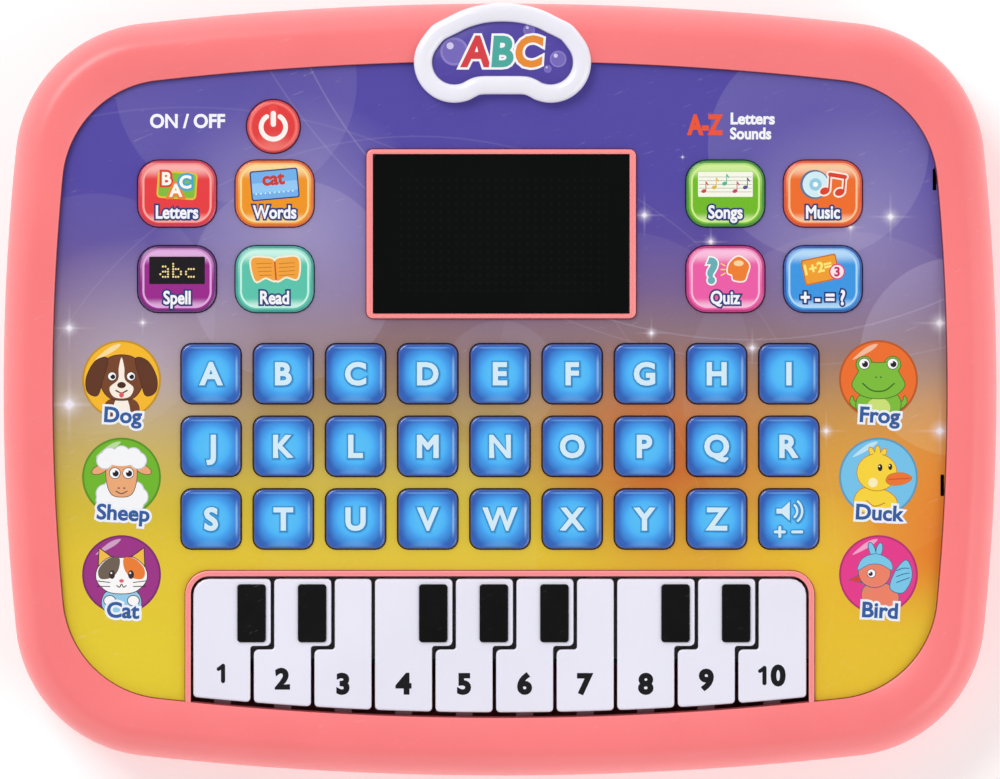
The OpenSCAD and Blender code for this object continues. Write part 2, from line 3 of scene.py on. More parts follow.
import bmesh
import bpy
import numpy as np
from mathutils.geometry import delaunay_2d_cdt
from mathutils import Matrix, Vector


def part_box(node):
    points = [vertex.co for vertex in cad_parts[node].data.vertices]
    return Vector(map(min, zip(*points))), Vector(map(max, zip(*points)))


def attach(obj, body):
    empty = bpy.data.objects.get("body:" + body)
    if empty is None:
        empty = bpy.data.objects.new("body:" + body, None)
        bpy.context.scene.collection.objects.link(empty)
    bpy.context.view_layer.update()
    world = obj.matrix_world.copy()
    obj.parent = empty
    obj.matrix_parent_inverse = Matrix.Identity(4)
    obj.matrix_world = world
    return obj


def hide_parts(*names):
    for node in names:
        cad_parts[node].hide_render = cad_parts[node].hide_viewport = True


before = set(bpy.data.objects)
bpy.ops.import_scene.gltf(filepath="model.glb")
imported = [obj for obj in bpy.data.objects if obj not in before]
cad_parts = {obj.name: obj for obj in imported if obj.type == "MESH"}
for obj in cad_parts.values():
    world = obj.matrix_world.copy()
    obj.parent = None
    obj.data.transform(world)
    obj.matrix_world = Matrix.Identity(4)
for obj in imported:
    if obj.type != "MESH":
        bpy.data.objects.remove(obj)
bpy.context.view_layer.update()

MM = 0.001

# Outlines are half width, half height, side radius, end radius and corner radius, in millimetres
CASE = (120.0, 93.3, 556.0, 779.0, 34.0)
FACE = (107.7, 79.0, 540.0, 740.0, 25.5)

# Case: the joint between front and rear shell with its fine groove, the wall, and the crown, which
# rises from the shoulder to the crest and falls from there to the face
PARTING_Z = 12.0
SEAM_INSET = 0.35
SEAM_RISE = 0.3
WALL = 2.2
SHOULDER_Z = 17.0
CREST_Z = 27.6
UNDER_CREST_Z = 24.4
CREST_INSET = 6.8
FACE_INSET = 17.0
CROWN_FALL = 1.9

# Face plate from its underside to its top, then the film and the print on it
PLATE_Z = (23.5, 25.0)
FILM_TOP_Z = 25.3
FILM_Z = (PLATE_Z[1] + 0.01, FILM_TOP_Z)
PRINT_LIFT = 0.02

# Push keys: tops, sizes and corners of the caps, and the gap round them
KEY_TOP_Z = 26.2
KEY_RIM_Z = (26.06, 25.86)
KEY_GAP = 0.25
LETTER_SIDE = 14.4
LETTER_CORNER = 2.5
MODE_W, MODE_H = 18.9, 16.0
MODE_CORNER = 5.0
POWER_R = 6.4

BADGE_X = 0.6
BADGE_SEAT_Z = 25.2
BADGE_LABEL_Z = 26.9

SPEAKER_AT = (0.0, -25.0)


# ---------------------------------------------------------------- outlines, as rows of (x, y)

def mirrored(quarter):
    """A quarter outline from the right side to the top, reflected into the other three quarters."""
    flip_x, flip_y = np.array((-1, 1)), np.array((1, -1))
    return np.concatenate((quarter, quarter[::-1] * flip_x, -quarter, quarter[::-1] * flip_y))


def unrepeated(loop):
    """The loop without points that lie on the one before them."""
    gap = np.linalg.norm(loop - np.roll(loop, 1, 0), axis=1)
    return loop[gap > 1e-6]


def turned(centre, radius, start, end, count, last=True):
    """count points on an arc: centre plus radius times (cos t, sin t)."""
    t = np.linspace(start, end, count, endpoint=last)
    return np.array(centre) + np.c_[np.cos(t), np.sin(t)] * np.reshape(radius, (-1, 1))


def barrel(shape, inset=0.0, counts=(14, 22, 36)):
    """Two long side arcs and two long end arcs joined by corner arcs. Every arc keeps its centre, and
    its radius gets smaller by inset, so equal rows of two insets lie on one normal."""
    half_w, half_h, side_r, end_r, corner_r = shape
    side_c = np.array((half_w - side_r, 0.0))
    end_c = np.array((0.0, half_h - end_r))
    p, q = side_r - corner_r, end_r - corner_r
    span = end_c - side_c
    length = np.hypot(*span)
    unit = span / length
    along = (p * p - q * q + length * length) / (2 * length)
    away = math.sqrt(p * p - along * along)
    corner_c = side_c + unit * along + np.array((-unit[1], unit[0])) * away
    first = math.atan2(*(corner_c - side_c)[::-1])
    second = math.atan2(*(corner_c - end_c)[::-1])
    quarter = np.concatenate((
        turned(side_c, side_r - inset, 0, first, counts[0], False),
        turned(corner_c, corner_r - inset, first, second, counts[1], False),
        turned(end_c, end_r - inset, second, math.pi / 2, counts[2]),
    ))
    return unrepeated(mirrored(quarter))


def rounded(w, h, r, centre=(0, 0), steps=6):
    """Rectangle w by h with corner arcs of radius r."""
    quarter = turned((w / 2 - r, h / 2 - r), r, 0, math.pi / 2, steps + 1)
    return mirrored(quarter) + np.array(centre)


def disc(x, y, rx, ry=None, turn=0.0, steps=36):
    """Ellipse about (x, y): (rx cos t, ry sin t), turned by turn degrees."""
    t = np.linspace(0, 2 * math.pi, steps, endpoint=False)
    c, s = math.cos(math.radians(turn)), math.sin(math.radians(turn))
    flat = np.c_[rx * np.cos(t), (rx if ry is None else ry) * np.sin(t)]
    return flat @ np.array(((c, s), (-s, c))) + (x, y)


def smooth(points, steps=6, closed=True):
    """Catmull-Rom curve through the points, closed into a loop or open."""
    p = np.array(points, float)
    if not closed:
        p = np.concatenate((2 * p[:1] - p[1:2], p, 2 * p[-1:] - p[-2:-1]))
    a, b, c, d = (np.roll(p, -k, 0)[:, None] for k in (-1, 0, 1, 2))
    t = np.linspace(0, 1, steps, endpoint=False)[None, :, None]
    curve = 0.5 * (2 * b + (c - a) * t + (2 * a - 5 * b + 4 * c - d) * t ** 2
                   + (3 * b - a - 3 * c + d) * t ** 3)
    if closed:
        return curve.reshape(-1, 2)
    return np.concatenate((curve[1:-2].reshape(-1, 2), p[-2:-1]))


def band(points, width):
    """A line of that width along open points, with round ends."""
    p = np.array(points, float)
    way = np.gradient(p, axis=0)
    way /= np.linalg.norm(way, axis=1)[:, None]
    side = np.c_[-way[:, 1], way[:, 0]] * width / 2
    ends = []
    for at, heading in ((p[-1], way[-1]), (p[0], -way[0])):
        angle = math.atan2(heading[1], heading[0])
        ends.append(turned(at, width / 2, angle - math.pi / 2, angle + math.pi / 2, 7))
    return np.concatenate((p - side, ends[0], (p + side)[::-1], ends[1]))


def stroke(points, width, steps=5):
    """A line of that width along the smooth curve through open points."""
    return band(smooth(points, steps, False), width)


def filleted(corners, steps=4):
    """Closed polygon of (x, y, r) corners, each rounded by an arc of radius r."""
    out = []
    for k, (x, y, r) in enumerate(corners):
        at = np.array((x, y))
        before = np.array(corners[k - 1][:2]) - at
        after = np.array(corners[(k + 1) % len(corners)][:2]) - at
        if r <= 0:
            out.append(at[None])
            continue
        before /= np.linalg.norm(before)
        after /= np.linalg.norm(after)
        half = math.acos(np.clip(before @ after, -1, 1)) / 2
        middle = before + after
        centre = at + middle / np.linalg.norm(middle) * r / math.sin(half)
        first = at + before * r / math.tan(half) - centre
        last = at + after * r / math.tan(half) - centre
        start, end = math.atan2(first[1], first[0]), math.atan2(last[1], last[0])
        end += 2 * math.pi * round((start - end) / (2 * math.pi))
        out.append(turned(centre, r, start, end, steps + 1))
    return np.concatenate(out)


def grown(loop, amount):
    """The loop moved outwards by amount along the mitre of the edges that meet at each point."""
    loop = unrepeated(loop)
    edge = np.roll(loop, -1, 0) - loop
    edge /= np.linalg.norm(edge, axis=1)[:, None]
    normal = np.c_[edge[:, 1], -edge[:, 0]]
    before = np.roll(normal, 1, 0)
    share = np.maximum(1 + (normal * before).sum(1), 0.5)
    return loop + (normal + before) / share[:, None] * amount


def area(loop):
    """Twice the loop's area, above zero when it runs anticlockwise."""
    x, y = np.asarray(loop).T
    return (x * np.roll(y, -1) - y * np.roll(x, -1)).sum()


def anticlockwise(loop):
    """The loop, turned round if it runs clockwise."""
    return loop if area(loop) > 0 else loop[::-1]


# ---------------------------------------------------------------- flat regions

def winding(points, loop):
    """How often the loop runs round each point, anticlockwise turns counted as plus."""
    a, b = loop, np.roll(loop, -1, 0)
    x, y = points[:, 0, None], points[:, 1, None]
    side = (b[:, 0] - a[:, 0]) * (y - a[:, 1]) - (x - a[:, 0]) * (b[:, 1] - a[:, 1])
    up = (a[:, 1] <= y) & (b[:, 1] > y) & (side > 0)
    down = (a[:, 1] > y) & (b[:, 1] <= y) & (side < 0)
    return up.sum(1) - down.sum(1)


def triangulated(loops):
    """Points and triangles of the plane cut along every loop, out to their convex hull."""
    points = np.concatenate(loops)
    edges, start = [], 0
    for loop in loops:
        n = len(loop)
        edges += [(start + k, start + (k + 1) % n) for k in range(n)]
        start += n
    found = delaunay_2d_cdt(points.tolist(), edges, [], 0, 1e-5, False)
    return np.array([tuple(v) for v in found[0]]), np.array(found[2])


def region(loops):
    """Points and triangles inside an odd number of the loops: an outer loop less its windows."""
    points, triangles = triangulated(loops)
    middle = points[triangles].mean(1)
    odd = sum(abs(winding(middle, loop)) for loop in loops) % 2 == 1
    return points, triangles[odd]


# ---------------------------------------------------------------- meshes

class Skin:
    """Collects the surfaces of one piece, in millimetres, and makes them one mesh."""

    def __init__(self):
        self.points, self.faces, self.count = [], [], 0

    def add(self, points, faces):
        points = np.asarray(points, float)
        self.points.append(points)
        self.faces += (np.asarray(faces) + self.count).tolist()
        self.count += len(points)

    def sweep(self, rings, closed=True, shut=False):
        """Joins equal rings of points, one after the other. shut also joins the last to the first."""
        rings = np.asarray(rings, float)
        if shut:
            rings = np.concatenate((rings, rings[:1]))
        k, n = rings.shape[:2]
        index = np.arange(k * n).reshape(k, n)
        beside = np.roll(index, -1, 1)
        quads = np.stack((index[:-1], beside[:-1], beside[1:], index[1:]), -1)
        if not closed:
            quads = quads[:, :-1]
        self.add(rings.reshape(-1, 3), quads.reshape(-1, 4))

    def flat(self, loops, z):
        """Fills an outer loop less its windows at height z."""
        points, triangles = region(loops)
        self.add(np.c_[points, np.full(len(points), z)], triangles)

    def shell(self, inset_loop, profile, shut=False):
        """Carries a profile of (inset, z) round the loop that inset_loop(inset) gives."""
        self.sweep([at_height(inset_loop(d), z) for d, z in profile], shut=shut)

    def body(self, inset_loop, profile):
        """Closed solid: the profile from the underside to the top, with both ends filled flat."""
        self.shell(inset_loop, profile)
        for d, z in (profile[0], profile[-1]):
            self.flat([inset_loop(d)], z)

    def block(self, low, high, bevel=0.15):
        """Small moulded rib between two corners, with its edges eased."""
        low, high = np.array(low, float), np.array(high, float)
        size, middle = high - low, (low + high) / 2
        self.body(
            lambda d: rounded(size[0] - 2 * d, size[1] - 2 * d, bevel, middle[:2], 2),
            [(bevel, low[2]), (0, low[2] + bevel), (0, high[2] - bevel), (bevel, high[2])],
        )

    def turn(self, profile, centre, axis="z", steps=32):
        """Turns a profile of (radius, height) about an axis through centre."""
        t = np.linspace(0, 2 * math.pi, steps, endpoint=False)
        rings = []
        for r, h in profile:
            ring = np.c_[r * np.cos(t), r * np.sin(t), np.full(steps, h)]
            rings.append((ring if axis == "z" else ring[:, [2, 0, 1]]) + np.array(centre))
        self.sweep(rings)
        for end in (0, -1):
            if profile[end][0] > 0:
                points = np.concatenate((rings[end], rings[end].mean(0)[None]))
                fan = [(k, (k + 1) % steps, steps) for k in range(steps)]
                self.add(points, fan)

    def made(self, name, finish, body, replaces=(), sharp=32, spot=None, crease=None):
        """The mesh as a piece. spot is the middle that the finish measures its pattern from, and the last
        argument gives each point's share of a painted shadow line along a seam."""
        mesh = bpy.data.meshes.new(name)
        mesh.from_pydata((np.concatenate(self.points) * MM).tolist(), [], self.faces)
        work = bmesh.new()
        work.from_mesh(mesh)
        bmesh.ops.remove_doubles(work, verts=work.verts, dist=2e-6)
        bmesh.ops.dissolve_degenerate(work, dist=1e-6, edges=work.edges)
        bmesh.ops.recalc_face_normals(work, faces=work.faces)
        work.to_mesh(mesh)
        work.free()
        mesh.shade_smooth()
        mesh.set_sharp_from_angle(angle=math.radians(sharp))
        where = np.zeros(len(mesh.vertices) * 3, np.float32)
        mesh.vertices.foreach_get("co", where)
        where = where.reshape(-1, 3) / MM
        if crease is not None:
            mesh.attributes.new("crease", "FLOAT", "POINT").data.foreach_set("value", crease(where))
        if spot is not None:
            local = where - np.array((*spot, 0.0), np.float32)
            mesh.attributes.new("spot", "FLOAT_VECTOR", "POINT").data.foreach_set(
                "vector", local.astype(np.float32).ravel())
        return placed(mesh, finish, body, replaces)


def at_height(loop, z):
    """Rows of (x, y, z) from rows of (x, y)."""
    return np.c_[loop, np.full(len(loop), z)]


def placed(mesh, finish, body, replaces=()):
    """Puts a mesh in the scene at the origin, on its body."""
    obj = bpy.data.objects.new(mesh.name, mesh)
    bpy.context.scene.collection.objects.link(obj)
    mesh.materials.append(finish.material)
    if replaces:
        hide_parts(*replaces)
    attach(obj, body)
    return obj


def quarter_round(r, top, inset=0.0, steps=5):
    """Profile rows of an edge of radius r that ends flat at height top."""
    t = np.linspace(0, math.pi / 2, steps)
    return list(zip(inset + r * (1 - np.cos(t)), top - r * (1 - np.sin(t))))


def artwork(name, paints, z, body, finish):
    """Flat printed picture at height z. Each paint is a colour and its loops, and covers what some loop
    runs round; a later paint covers an earlier one, so every triangle has one colour."""
    loops = [unrepeated(np.asarray(loop, float)) for _, drawn in paints for loop in drawn]
    points, triangles = triangulated(loops)
    middle = points[triangles].mean(1)
    top = np.full(len(triangles), -1)
    for k, (_, drawn) in enumerate(paints):
        turns = sum(winding(middle, np.asarray(loop)) for loop in drawn)
        top[turns != 0] = k
    triangles, top = triangles[top >= 0], top[top >= 0]
    used, triangles = np.unique(triangles, return_inverse=True)
    mesh = bpy.data.meshes.new(name)
    where = at_height(points[used], z) * MM
    mesh.from_pydata(where.tolist(), [], triangles.reshape(-1, 3).tolist())
    colours = np.array([rgb(*colour) for colour, _ in paints], np.float32)[top]
    mesh.color_attributes.new("ink", "FLOAT_COLOR", "CORNER").data.foreach_set(
        "color", np.repeat(colours, 3, axis=0).ravel())
    return placed(mesh, finish, body)


# ---------------------------------------------------------------- lettering

CAP_SHARE = 0.682


def lettering(text, height, centre, weight=0.03, narrow=1.0, slant=0.0, turn=0.0):
    """Loops of a line of plain letters: height is a capital's, centre the middle of the line, weight
    thickens the strokes as a share of the height, narrow squeezes the line."""
    curve = bpy.data.curves.new("lettering", "FONT")
    curve.body = text
    curve.fill_mode = "NONE"
    curve.resolution_u = 4
    obj = bpy.data.objects.new("lettering", curve)
    bpy.context.scene.collection.objects.link(obj)
    bpy.context.view_layer.update()
    mesh = obj.to_mesh()
    points = np.array([v.co[:2] for v in mesh.vertices])
    joined = {tuple(sorted(e.vertices)) for e in mesh.edges}
    loops, start = [], 0
    for k in range(1, len(points) + 1):
        if k == len(points) or (k - 1, k) not in joined:
            loops.append(points[start:k])
            start = k
    obj.to_mesh_clear()
    bpy.data.objects.remove(obj)
    bpy.data.curves.remove(curve)
    way = np.sign(area(max(loops, key=lambda loop: abs(area(loop)))))
    loops = [(loop if way > 0 else loop[::-1]) * height / CAP_SHARE for loop in loops]
    loops = [grown(loop, weight * height) for loop in loops]
    every = np.concatenate(loops)
    middle = np.array(((every[:, 0].min() + every[:, 0].max()) / 2, height / 2))
    c, s = math.cos(math.radians(turn)), math.sin(math.radians(turn))
    out = []
    for loop in loops:
        x, y = (loop - middle).T
        x = x * narrow + y * slant
        out.append(np.c_[c * x - s * y, s * x + c * y] + np.array(centre))
    return out


def fattened(loops, amount, shift=(0, 0)):
    """The letters' loops grown outwards, counters made smaller, and moved by shift."""
    return [grown(loop, amount) + np.array(shift) for loop in loops]


# ---------------------------------------------------------------- finishes

def rgb(r, g, b):
    """Linear colour of screen values from 0 to 255."""
    def linear(v):
        v /= 255
        return v / 12.92 if v <= 0.04045 else ((v + 0.055) / 1.055) ** 2.4
    return (linear(r), linear(g), linear(b), 1.0)


class Value:
    """A socket that can be used in sums."""

    def __init__(self, finish, socket):
        self.finish, self.socket = finish, socket

    def maths(self, operation, *operands, **settings):
        inputs = dict(enumerate(operands))
        return self.finish.node("Math", {"operation": operation, **settings}, inputs)

    def __add__(self, other):
        return self.maths("ADD", self, other)

    def __sub__(self, other):
        return self.maths("SUBTRACT", self, other)

    def __rsub__(self, other):
        return self.maths("SUBTRACT", other, self)

    def __mul__(self, other):
        return self.maths("MULTIPLY", self, other)

    def __truediv__(self, other):
        return self.maths("DIVIDE", self, other)

    def __pow__(self, other):
        return self.maths("POWER", self, other)

    __radd__, __rmul__ = __add__, __mul__

    def least(self, other):
        return self.maths("MINIMUM", self, other)

    def most(self, other):
        return self.maths("MAXIMUM", self, other)

    def size(self):
        return self.maths("ABSOLUTE", self)

    def root(self):
        return self.maths("SQRT", self)

    def clamped(self):
        return self.maths("ADD", self, 0.0, use_clamp=True)

    def ease(self, low, high):
        """0 at low, 1 at high, with a smooth step between."""
        if low > high:
            return 1 - self.ease(high, low)
        inputs = {0: self, 1: low, 2: high, 3: 0.0, 4: 1.0}
        return self.finish.node("MapRange", {"interpolation_type": "SMOOTHSTEP"}, inputs)


class Finish:
    """A named surface finish: one Principled shader and the nodes that feed it."""

    def __init__(self, name, **constants):
        self.material = bpy.data.materials.new(name)
        self.material.use_nodes = True
        self.tree = self.material.node_tree
        self.shader = self.tree.nodes["Principled BSDF"]
        for key, value in constants.items():
            self.shader.inputs[key.replace("_", " ")].default_value = value
        where = self.node("TexCoord", out="Object")
        self.place = self.node("VectorMath", {"operation": "SCALE"}, {0: where, "Scale": 1 / MM})
        self.x, self.y, self.z = self.parts(self.place)

    def node(self, kind, settings=None, inputs=None, out=0):
        node = self.tree.nodes.new("ShaderNode" + kind)
        for key, value in (settings or {}).items():
            if key == "stops":
                ramp = node.color_ramp
                while len(ramp.elements) < len(value):
                    ramp.elements.new(0.5)
                for element, (at, colour) in zip(ramp.elements, value):
                    element.position, element.color = at, colour
            else:
                setattr(node, key, value)
        for key, value in (inputs or {}).items():
            if isinstance(value, Value):
                self.tree.links.new(value.socket, node.inputs[key])
            else:
                node.inputs[key].default_value = value
        return Value(self, node.outputs[out])

    def parts(self, vector):
        split = self.node("SeparateXYZ", inputs={0: vector}).socket.node
        return [Value(self, output) for output in split.outputs]

    def joined(self, x, y, z=0.0):
        return self.node("CombineXYZ", inputs={0: x, 1: y, 2: z})

    def noise(self, scale, detail=2.0, vector=None, rough=0.5, warp=0.0):
        """Cloudy value from 0 to 1 with scale cells to the millimetre."""
        inputs = {"Vector": vector or self.place, "Scale": scale, "Detail": detail,
                  "Roughness": rough, "Distortion": warp}
        return self.node("TexNoise", inputs=inputs)

    def mix(self, share, a, b, blend="MIX"):
        return self.node("Mix", {"data_type": "RGBA", "blend_type": blend}, {0: share, 6: a, 7: b}, 2)

    def ramp(self, value, stops):
        return self.node("ValToRGB", {"stops": stops}, {0: value})

    def attribute(self, name, out="Vector"):
        return self.node("Attribute", {"attribute_name": name}, out=out)

    def set(self, name, value):
        self.tree.links.new(value.socket, self.shader.inputs[name])

    def bumps(self, *layers):
        """Normal from layers of (height value, depth in millimetres)."""
        total = None
        for height, depth in layers:
            part = height * depth
            total = part if total is None else total + part
        inputs = {"Height": total, "Distance": MM, "Strength": 1.0}
        self.set("Normal", self.node("Bump", inputs=inputs))

    def far(self, x, y, at=(0.0, 0.0), squash=1.0):
        """Distance in the face's plane from a point."""
        dx, dy = x - at[0], (y - at[1]) * squash
        return (dx * dx + dy * dy).root()

    def within(self, x, y, half_w, half_h, r):
        """Distance inwards from the edge of a rounded rectangle about the origin."""
        qx, qy = x.size() - (half_w - r), y.size() - (half_h - r)
        ox, oy = qx.most(0.0), qy.most(0.0)
        return r - (ox * ox + oy * oy).root() - qx.most(qy).least(0.0)

    def handled(self, roughness, wear=1.0, patchy=1.0):
        """Roughness with slow drift, smudges and fine rub marks; returns the rub marks."""
        drift = self.noise(0.05, 3.0)
        smudge = self.noise(0.22, 4.0, warp=1.5)
        slanted = self.joined(self.x * 0.25 + self.y * 0.1, self.y * 2.6 - self.x, self.z)
        thin = self.noise(0.6, 2.0, slanted)
        rubs = thin.ease(0.66, 0.74) * smudge.ease(0.45, 0.6)
        uneven = 0.12 * patchy
        spread = (drift - 0.5) * uneven + (smudge - 0.5) * uneven + rubs * (0.10 * wear)
        self.set("Roughness", (spread + roughness).clamped())
        return rubs


def moulded(name, colour, roughness=0.34, grain=0.006, tone=0.05, **constants):
    """Moulded plastic: slow colour drift, spark-eroded grain, faint flow lines and rub marks, and a dark
    red painted shadow line along the seams that a piece marks.
    """
    finish = Finish(name, **constants)
    drift, cloud = finish.noise(0.028, 3.0), finish.noise(0.5, 3.0)
    shade = drift.ease(0.3, 0.7) * 0.7 + cloud * 0.3
    dark = tuple(c * (1 - tone) for c in colour[:3]) + (1.0,)
    pale = tuple(min(1.0, c * (1 + tone)) for c in colour[:3]) + (1.0,)
    rubs = finish.handled(roughness)
    worn = finish.mix(rubs * 0.07, finish.mix(shade, dark, pale), (0.9, 0.86, 0.86, 1.0))
    # Painted shadow: a thin dark red line where a piece marks a seam, as on the brink round the face
    crease = finish.attribute("crease", "Fac") * 0.8
    finish.set("Base Color", finish.mix(crease, worn, rgb(120, 16, 36)))
    finish.bumps((finish.noise(3.2, 3.0), grain), (finish.noise(0.12, 2.0), 0.05), (rubs, -0.004))
    return finish


def metal(name, colour, roughness=0.3, brushed=(0.4, 6.0)):
    """Plated metal: brushed roughness, dull patches and fine drawing lines."""
    finish = Finish(name, Metallic=1.0)
    drawn = finish.joined(finish.x * brushed[0], finish.y * brushed[1], finish.z * 4.0)
    lines = finish.noise(1.0, 4.0, drawn)
    dull = finish.noise(0.35, 4.0)
    dark = tuple(c * 0.72 for c in colour[:3]) + (1.0,)
    finish.set("Base Color", finish.mix(dull.ease(0.35, 0.7), colour, dark))
    finish.set("Roughness", (roughness + lines * 0.16 + dull * 0.12).clamped())
    finish.bumps((lines, 0.006))
    return finish


def printed_ink():
    """Screen-printed ink: the picture's own colours with a fine dot screen and a satin varnish."""
    finish = Finish("printed_ink", Coat_Weight=0.1, Coat_Roughness=0.18, Specular_IOR_Level=0.35)
    ink = finish.attribute("ink", "Color")
    cloud = finish.noise(1.6, 3.0)
    deeper = finish.mix(0.5, ink, (0.02, 0.02, 0.03, 1.0))
    finish.set("Base Color", finish.mix(cloud * 0.07, ink, deeper))
    finish.handled(0.36, 0.5)
    finish.bumps((finish.noise(0.15, 2.0), 0.03), (cloud, 0.002))
    return finish


# Print on the face: pale discs, fine rings and hazes as (x, y, radius, strength), stars as (x, y, size)
DISCS = [
    (-63.7, 74.4, 29.2, 0.07), (-50.1, 26.2, 24.4, 0.11), (-97.6, 18.2, 29.0, 0.05),
    (76.7, 58.3, 26.6, 0.10), (110.7, 7.9, 24.0, 0.16), (0.0, 2.6, 14.0, 0.07),
    (-24.0, -42.0, 33.0, 0.08), (30.0, 8.0, 30.0, 0.04), (84.0, -2.0, 40.0, 0.05),
]
STARS = [
    (34.8, 42.0, 2.6), (50.8, 35.6, 2.2), (94.1, 41.6, 3.0), (84.5, 39.1, 1.8), (-103.8, 14.8, 3.0),
    (-86.1, 16.1, 1.6), (-103.8, -3.6, 5.0), (36.5, 13.6, 2.0), (60.8, 10.0, 2.4), (78.6, -10.0, 2.4),
    (106.0, 16.0, 3.6), (106.0, -10.0, 3.6), (44.0, 56.0, 0.7),
]
RINGS = [(60.0, 130.0, 118.0, 0.16), (-20.0, -40.0, 101.0, 0.07), (72.0, 156.0, 150.0, 0.10),
         (-75.0, -60.0, 128.0, 0.07)]
HAZES = [(-88.0, 3.0, 34.0, 0.55), (-50.0, 38.0, 34.0, 0.40), (84.0, 38.0, 30.0, 0.32)]


def printed_film():
    """The face's print: violet sky that fades through mauve into gold, with a warm glow low on the
    right, pale overlapping discs, hazes, soft stars and fine arcs, under a satin varnish."""
    finish = Finish("printed_film", Coat_Weight=0.08, Coat_Roughness=0.2, Specular_IOR_Level=0.35)
    x, y = finish.x, finish.y
    sway = finish.noise(0.02, 2.0)
    level = (y + sway * 6.0 - 3.0 + 60.0) / 110.0
    sky = finish.ramp(level.clamped(), [
        (0.0, rgb(232, 207, 50)), (0.18, rgb(230, 199, 52)), (0.30, rgb(214, 189, 58)),
        (0.40, rgb(198, 170, 82)), (0.50, rgb(173, 143, 90)), (0.60, rgb(150, 120, 106)),
        (0.68, rgb(138, 110, 122)), (0.76, rgb(118, 92, 144)), (0.88, rgb(92, 76, 160)),
        (1.0, rgb(84, 73, 166)),
    ])
    glow = (1 - finish.far(x, y, (38.0, -16.0), 1.25) / 38.0).clamped()
    low_right = x.ease(-10.0, 95.0) * y.ease(16.0, -20.0)
    sky = finish.mix(low_right * 0.75, sky, rgb(232, 152, 50))
    ember = (1 - finish.far(x, y, (110.0, -34.0), 0.8) / 30.0).clamped()
    sky = finish.mix((ember * 1.2).clamped(), sky, rgb(236, 130, 40))
    sky = finish.mix(x.ease(55.0, 78.0) * y.ease(-40.0, -62.0), sky, rgb(236, 196, 48))
    patch = (1 - finish.far(x, y, (74.0, -44.0)) / 20.0).clamped()
    sky = finish.mix(patch ** 0.6 * 0.9, sky, rgb(238, 196, 46))
    sky = finish.mix((glow ** 1.1 * 0.95).clamped(), sky, rgb(204, 84, 36))
    pale = None
    for at_x, at_y, r, strength in DISCS:
        d = finish.far(x, y, (at_x, at_y))
        inside = d.ease(r + 0.15, r - 0.15) * (0.65 + d * (0.35 / r)) * strength
        pale = inside if pale is None else pale + inside
    for at_x, at_y, r, strength in RINGS:
        pale = pale + (finish.far(x, y, (at_x, at_y)) - r).size().ease(0.32, 0.05) * strength
    for at_x, at_y, r, strength in HAZES:
        pale = pale + (1 - finish.far(x, y, (at_x, at_y)) / r).clamped() * strength
    veil = finish.mix(y.ease(-24.0, 12.0), rgb(238, 216, 120), rgb(206, 196, 226))
    sky = finish.mix(pale.clamped(), sky, veil)
    shine = None
    for at_x, at_y, size in STARS:
        dx, dy = (x - at_x).size(), (y - at_y).size()
        out = finish.far(x, y, (at_x, at_y))
        core = (1 - out / size).clamped() ** 2.2 * 0.75 + (1 - out / (size * 0.32)).clamped() * 0.5
        flare = (1 - dx / (size * 2.2)).clamped() * (1 - dy / (size * 0.14)).clamped()
        rise = (1 - dy / (size * 2.2)).clamped() * (1 - dx / (size * 0.14)).clamped()
        star = core + (flare + rise) * 0.22
        shine = star if shine is None else shine.most(star)
    sky = finish.mix(shine.clamped(), sky, rgb(246, 240, 250))
    cloud = finish.noise(0.9, 4.0)
    rubs = finish.handled(0.36, 0.8)
    sky = finish.mix(cloud * 0.06, sky, rgb(60, 44, 70))
    finish.set("Base Color", finish.mix(rubs * 0.12, sky, rgb(230, 225, 230)))
    finish.bumps((finish.noise(0.07, 2.0), 0.10), (finish.noise(1.4, 3.0), 0.004), (rubs, -0.003))
    return finish


def letter_key_finish():
    """Clear blue cap over a print: bright middle, deeper sides, navy edge; painted highlights as pale lines
    along the top and right of the moulded rim and a pale crescent low down, and painted shade on the left."""
    finish = Finish("letter_key_finish", Coat_Weight=0.6, Coat_Roughness=0.08)
    x, y, z = finish.parts(finish.attribute("spot"))
    deep = finish.within(x, y, LETTER_SIDE / 2, LETTER_SIDE / 2, LETTER_CORNER)
    out = finish.far(x, y) / 7.4
    blue = finish.ramp(out.clamped(), [
        (0.0, rgb(94, 200, 255)), (0.42, rgb(86, 194, 255)), (0.56, rgb(79, 186, 255)),
        (0.68, rgb(70, 164, 244)), (0.88, rgb(58, 133, 215)), (1.0, rgb(51, 104, 190)),
    ])
    sides = deep.ease(2.0, 0.5) * (0.3 + y.ease(-2.0, 6.0) * 0.3)
    blue = finish.mix(sides, blue, rgb(48, 86, 182))
    # Painted shade: the left side of the cap darker
    left = x.ease(-4.6, -6.6) * y.size().ease(6.6, 3.0)
    blue = finish.mix(left * 0.25, blue, rgb(40, 70, 160))
    # Painted highlight: a pale streak down the right edge
    right_edge_highlight = (x - 6.15).size().ease(0.45, 0.05) * y.size().ease(5.4, 2.0)
    blue = finish.mix(right_edge_highlight * 0.5, blue, rgb(180, 222, 255))
    # Painted highlight: a pale line along the top edge
    top_edge_highlight = (y - 6.25).size().ease(0.3, 0.05) * x.size().ease(6.2, 3.6)
    blue = finish.mix(top_edge_highlight * 0.6, blue, rgb(120, 180, 240))
    # Painted highlight: a pale crescent near the bottom edge
    lens = finish.far(x, y, (0.0, -12.0)).ease(7.6, 5.6) * deep.ease(0.3, 0.9) * y.ease(-3.0, -5.2)
    blue = finish.mix(lens * 0.30, blue, rgb(140, 206, 255))
    edge = deep.ease(0.42, 0.14).most(z.ease(*KEY_RIM_Z))
    blue = finish.mix(edge, blue, rgb(34, 44, 104))
    fleck = finish.noise(2.4, 3.0)
    finish.set("Base Color", finish.mix(fleck * 0.08, blue, rgb(20, 50, 120)))
    rubs = finish.handled(0.22, 0.6)
    finish.bumps((finish.noise(0.5, 2.0), 0.010), (fleck, 0.002), (rubs, -0.002))
    return finish


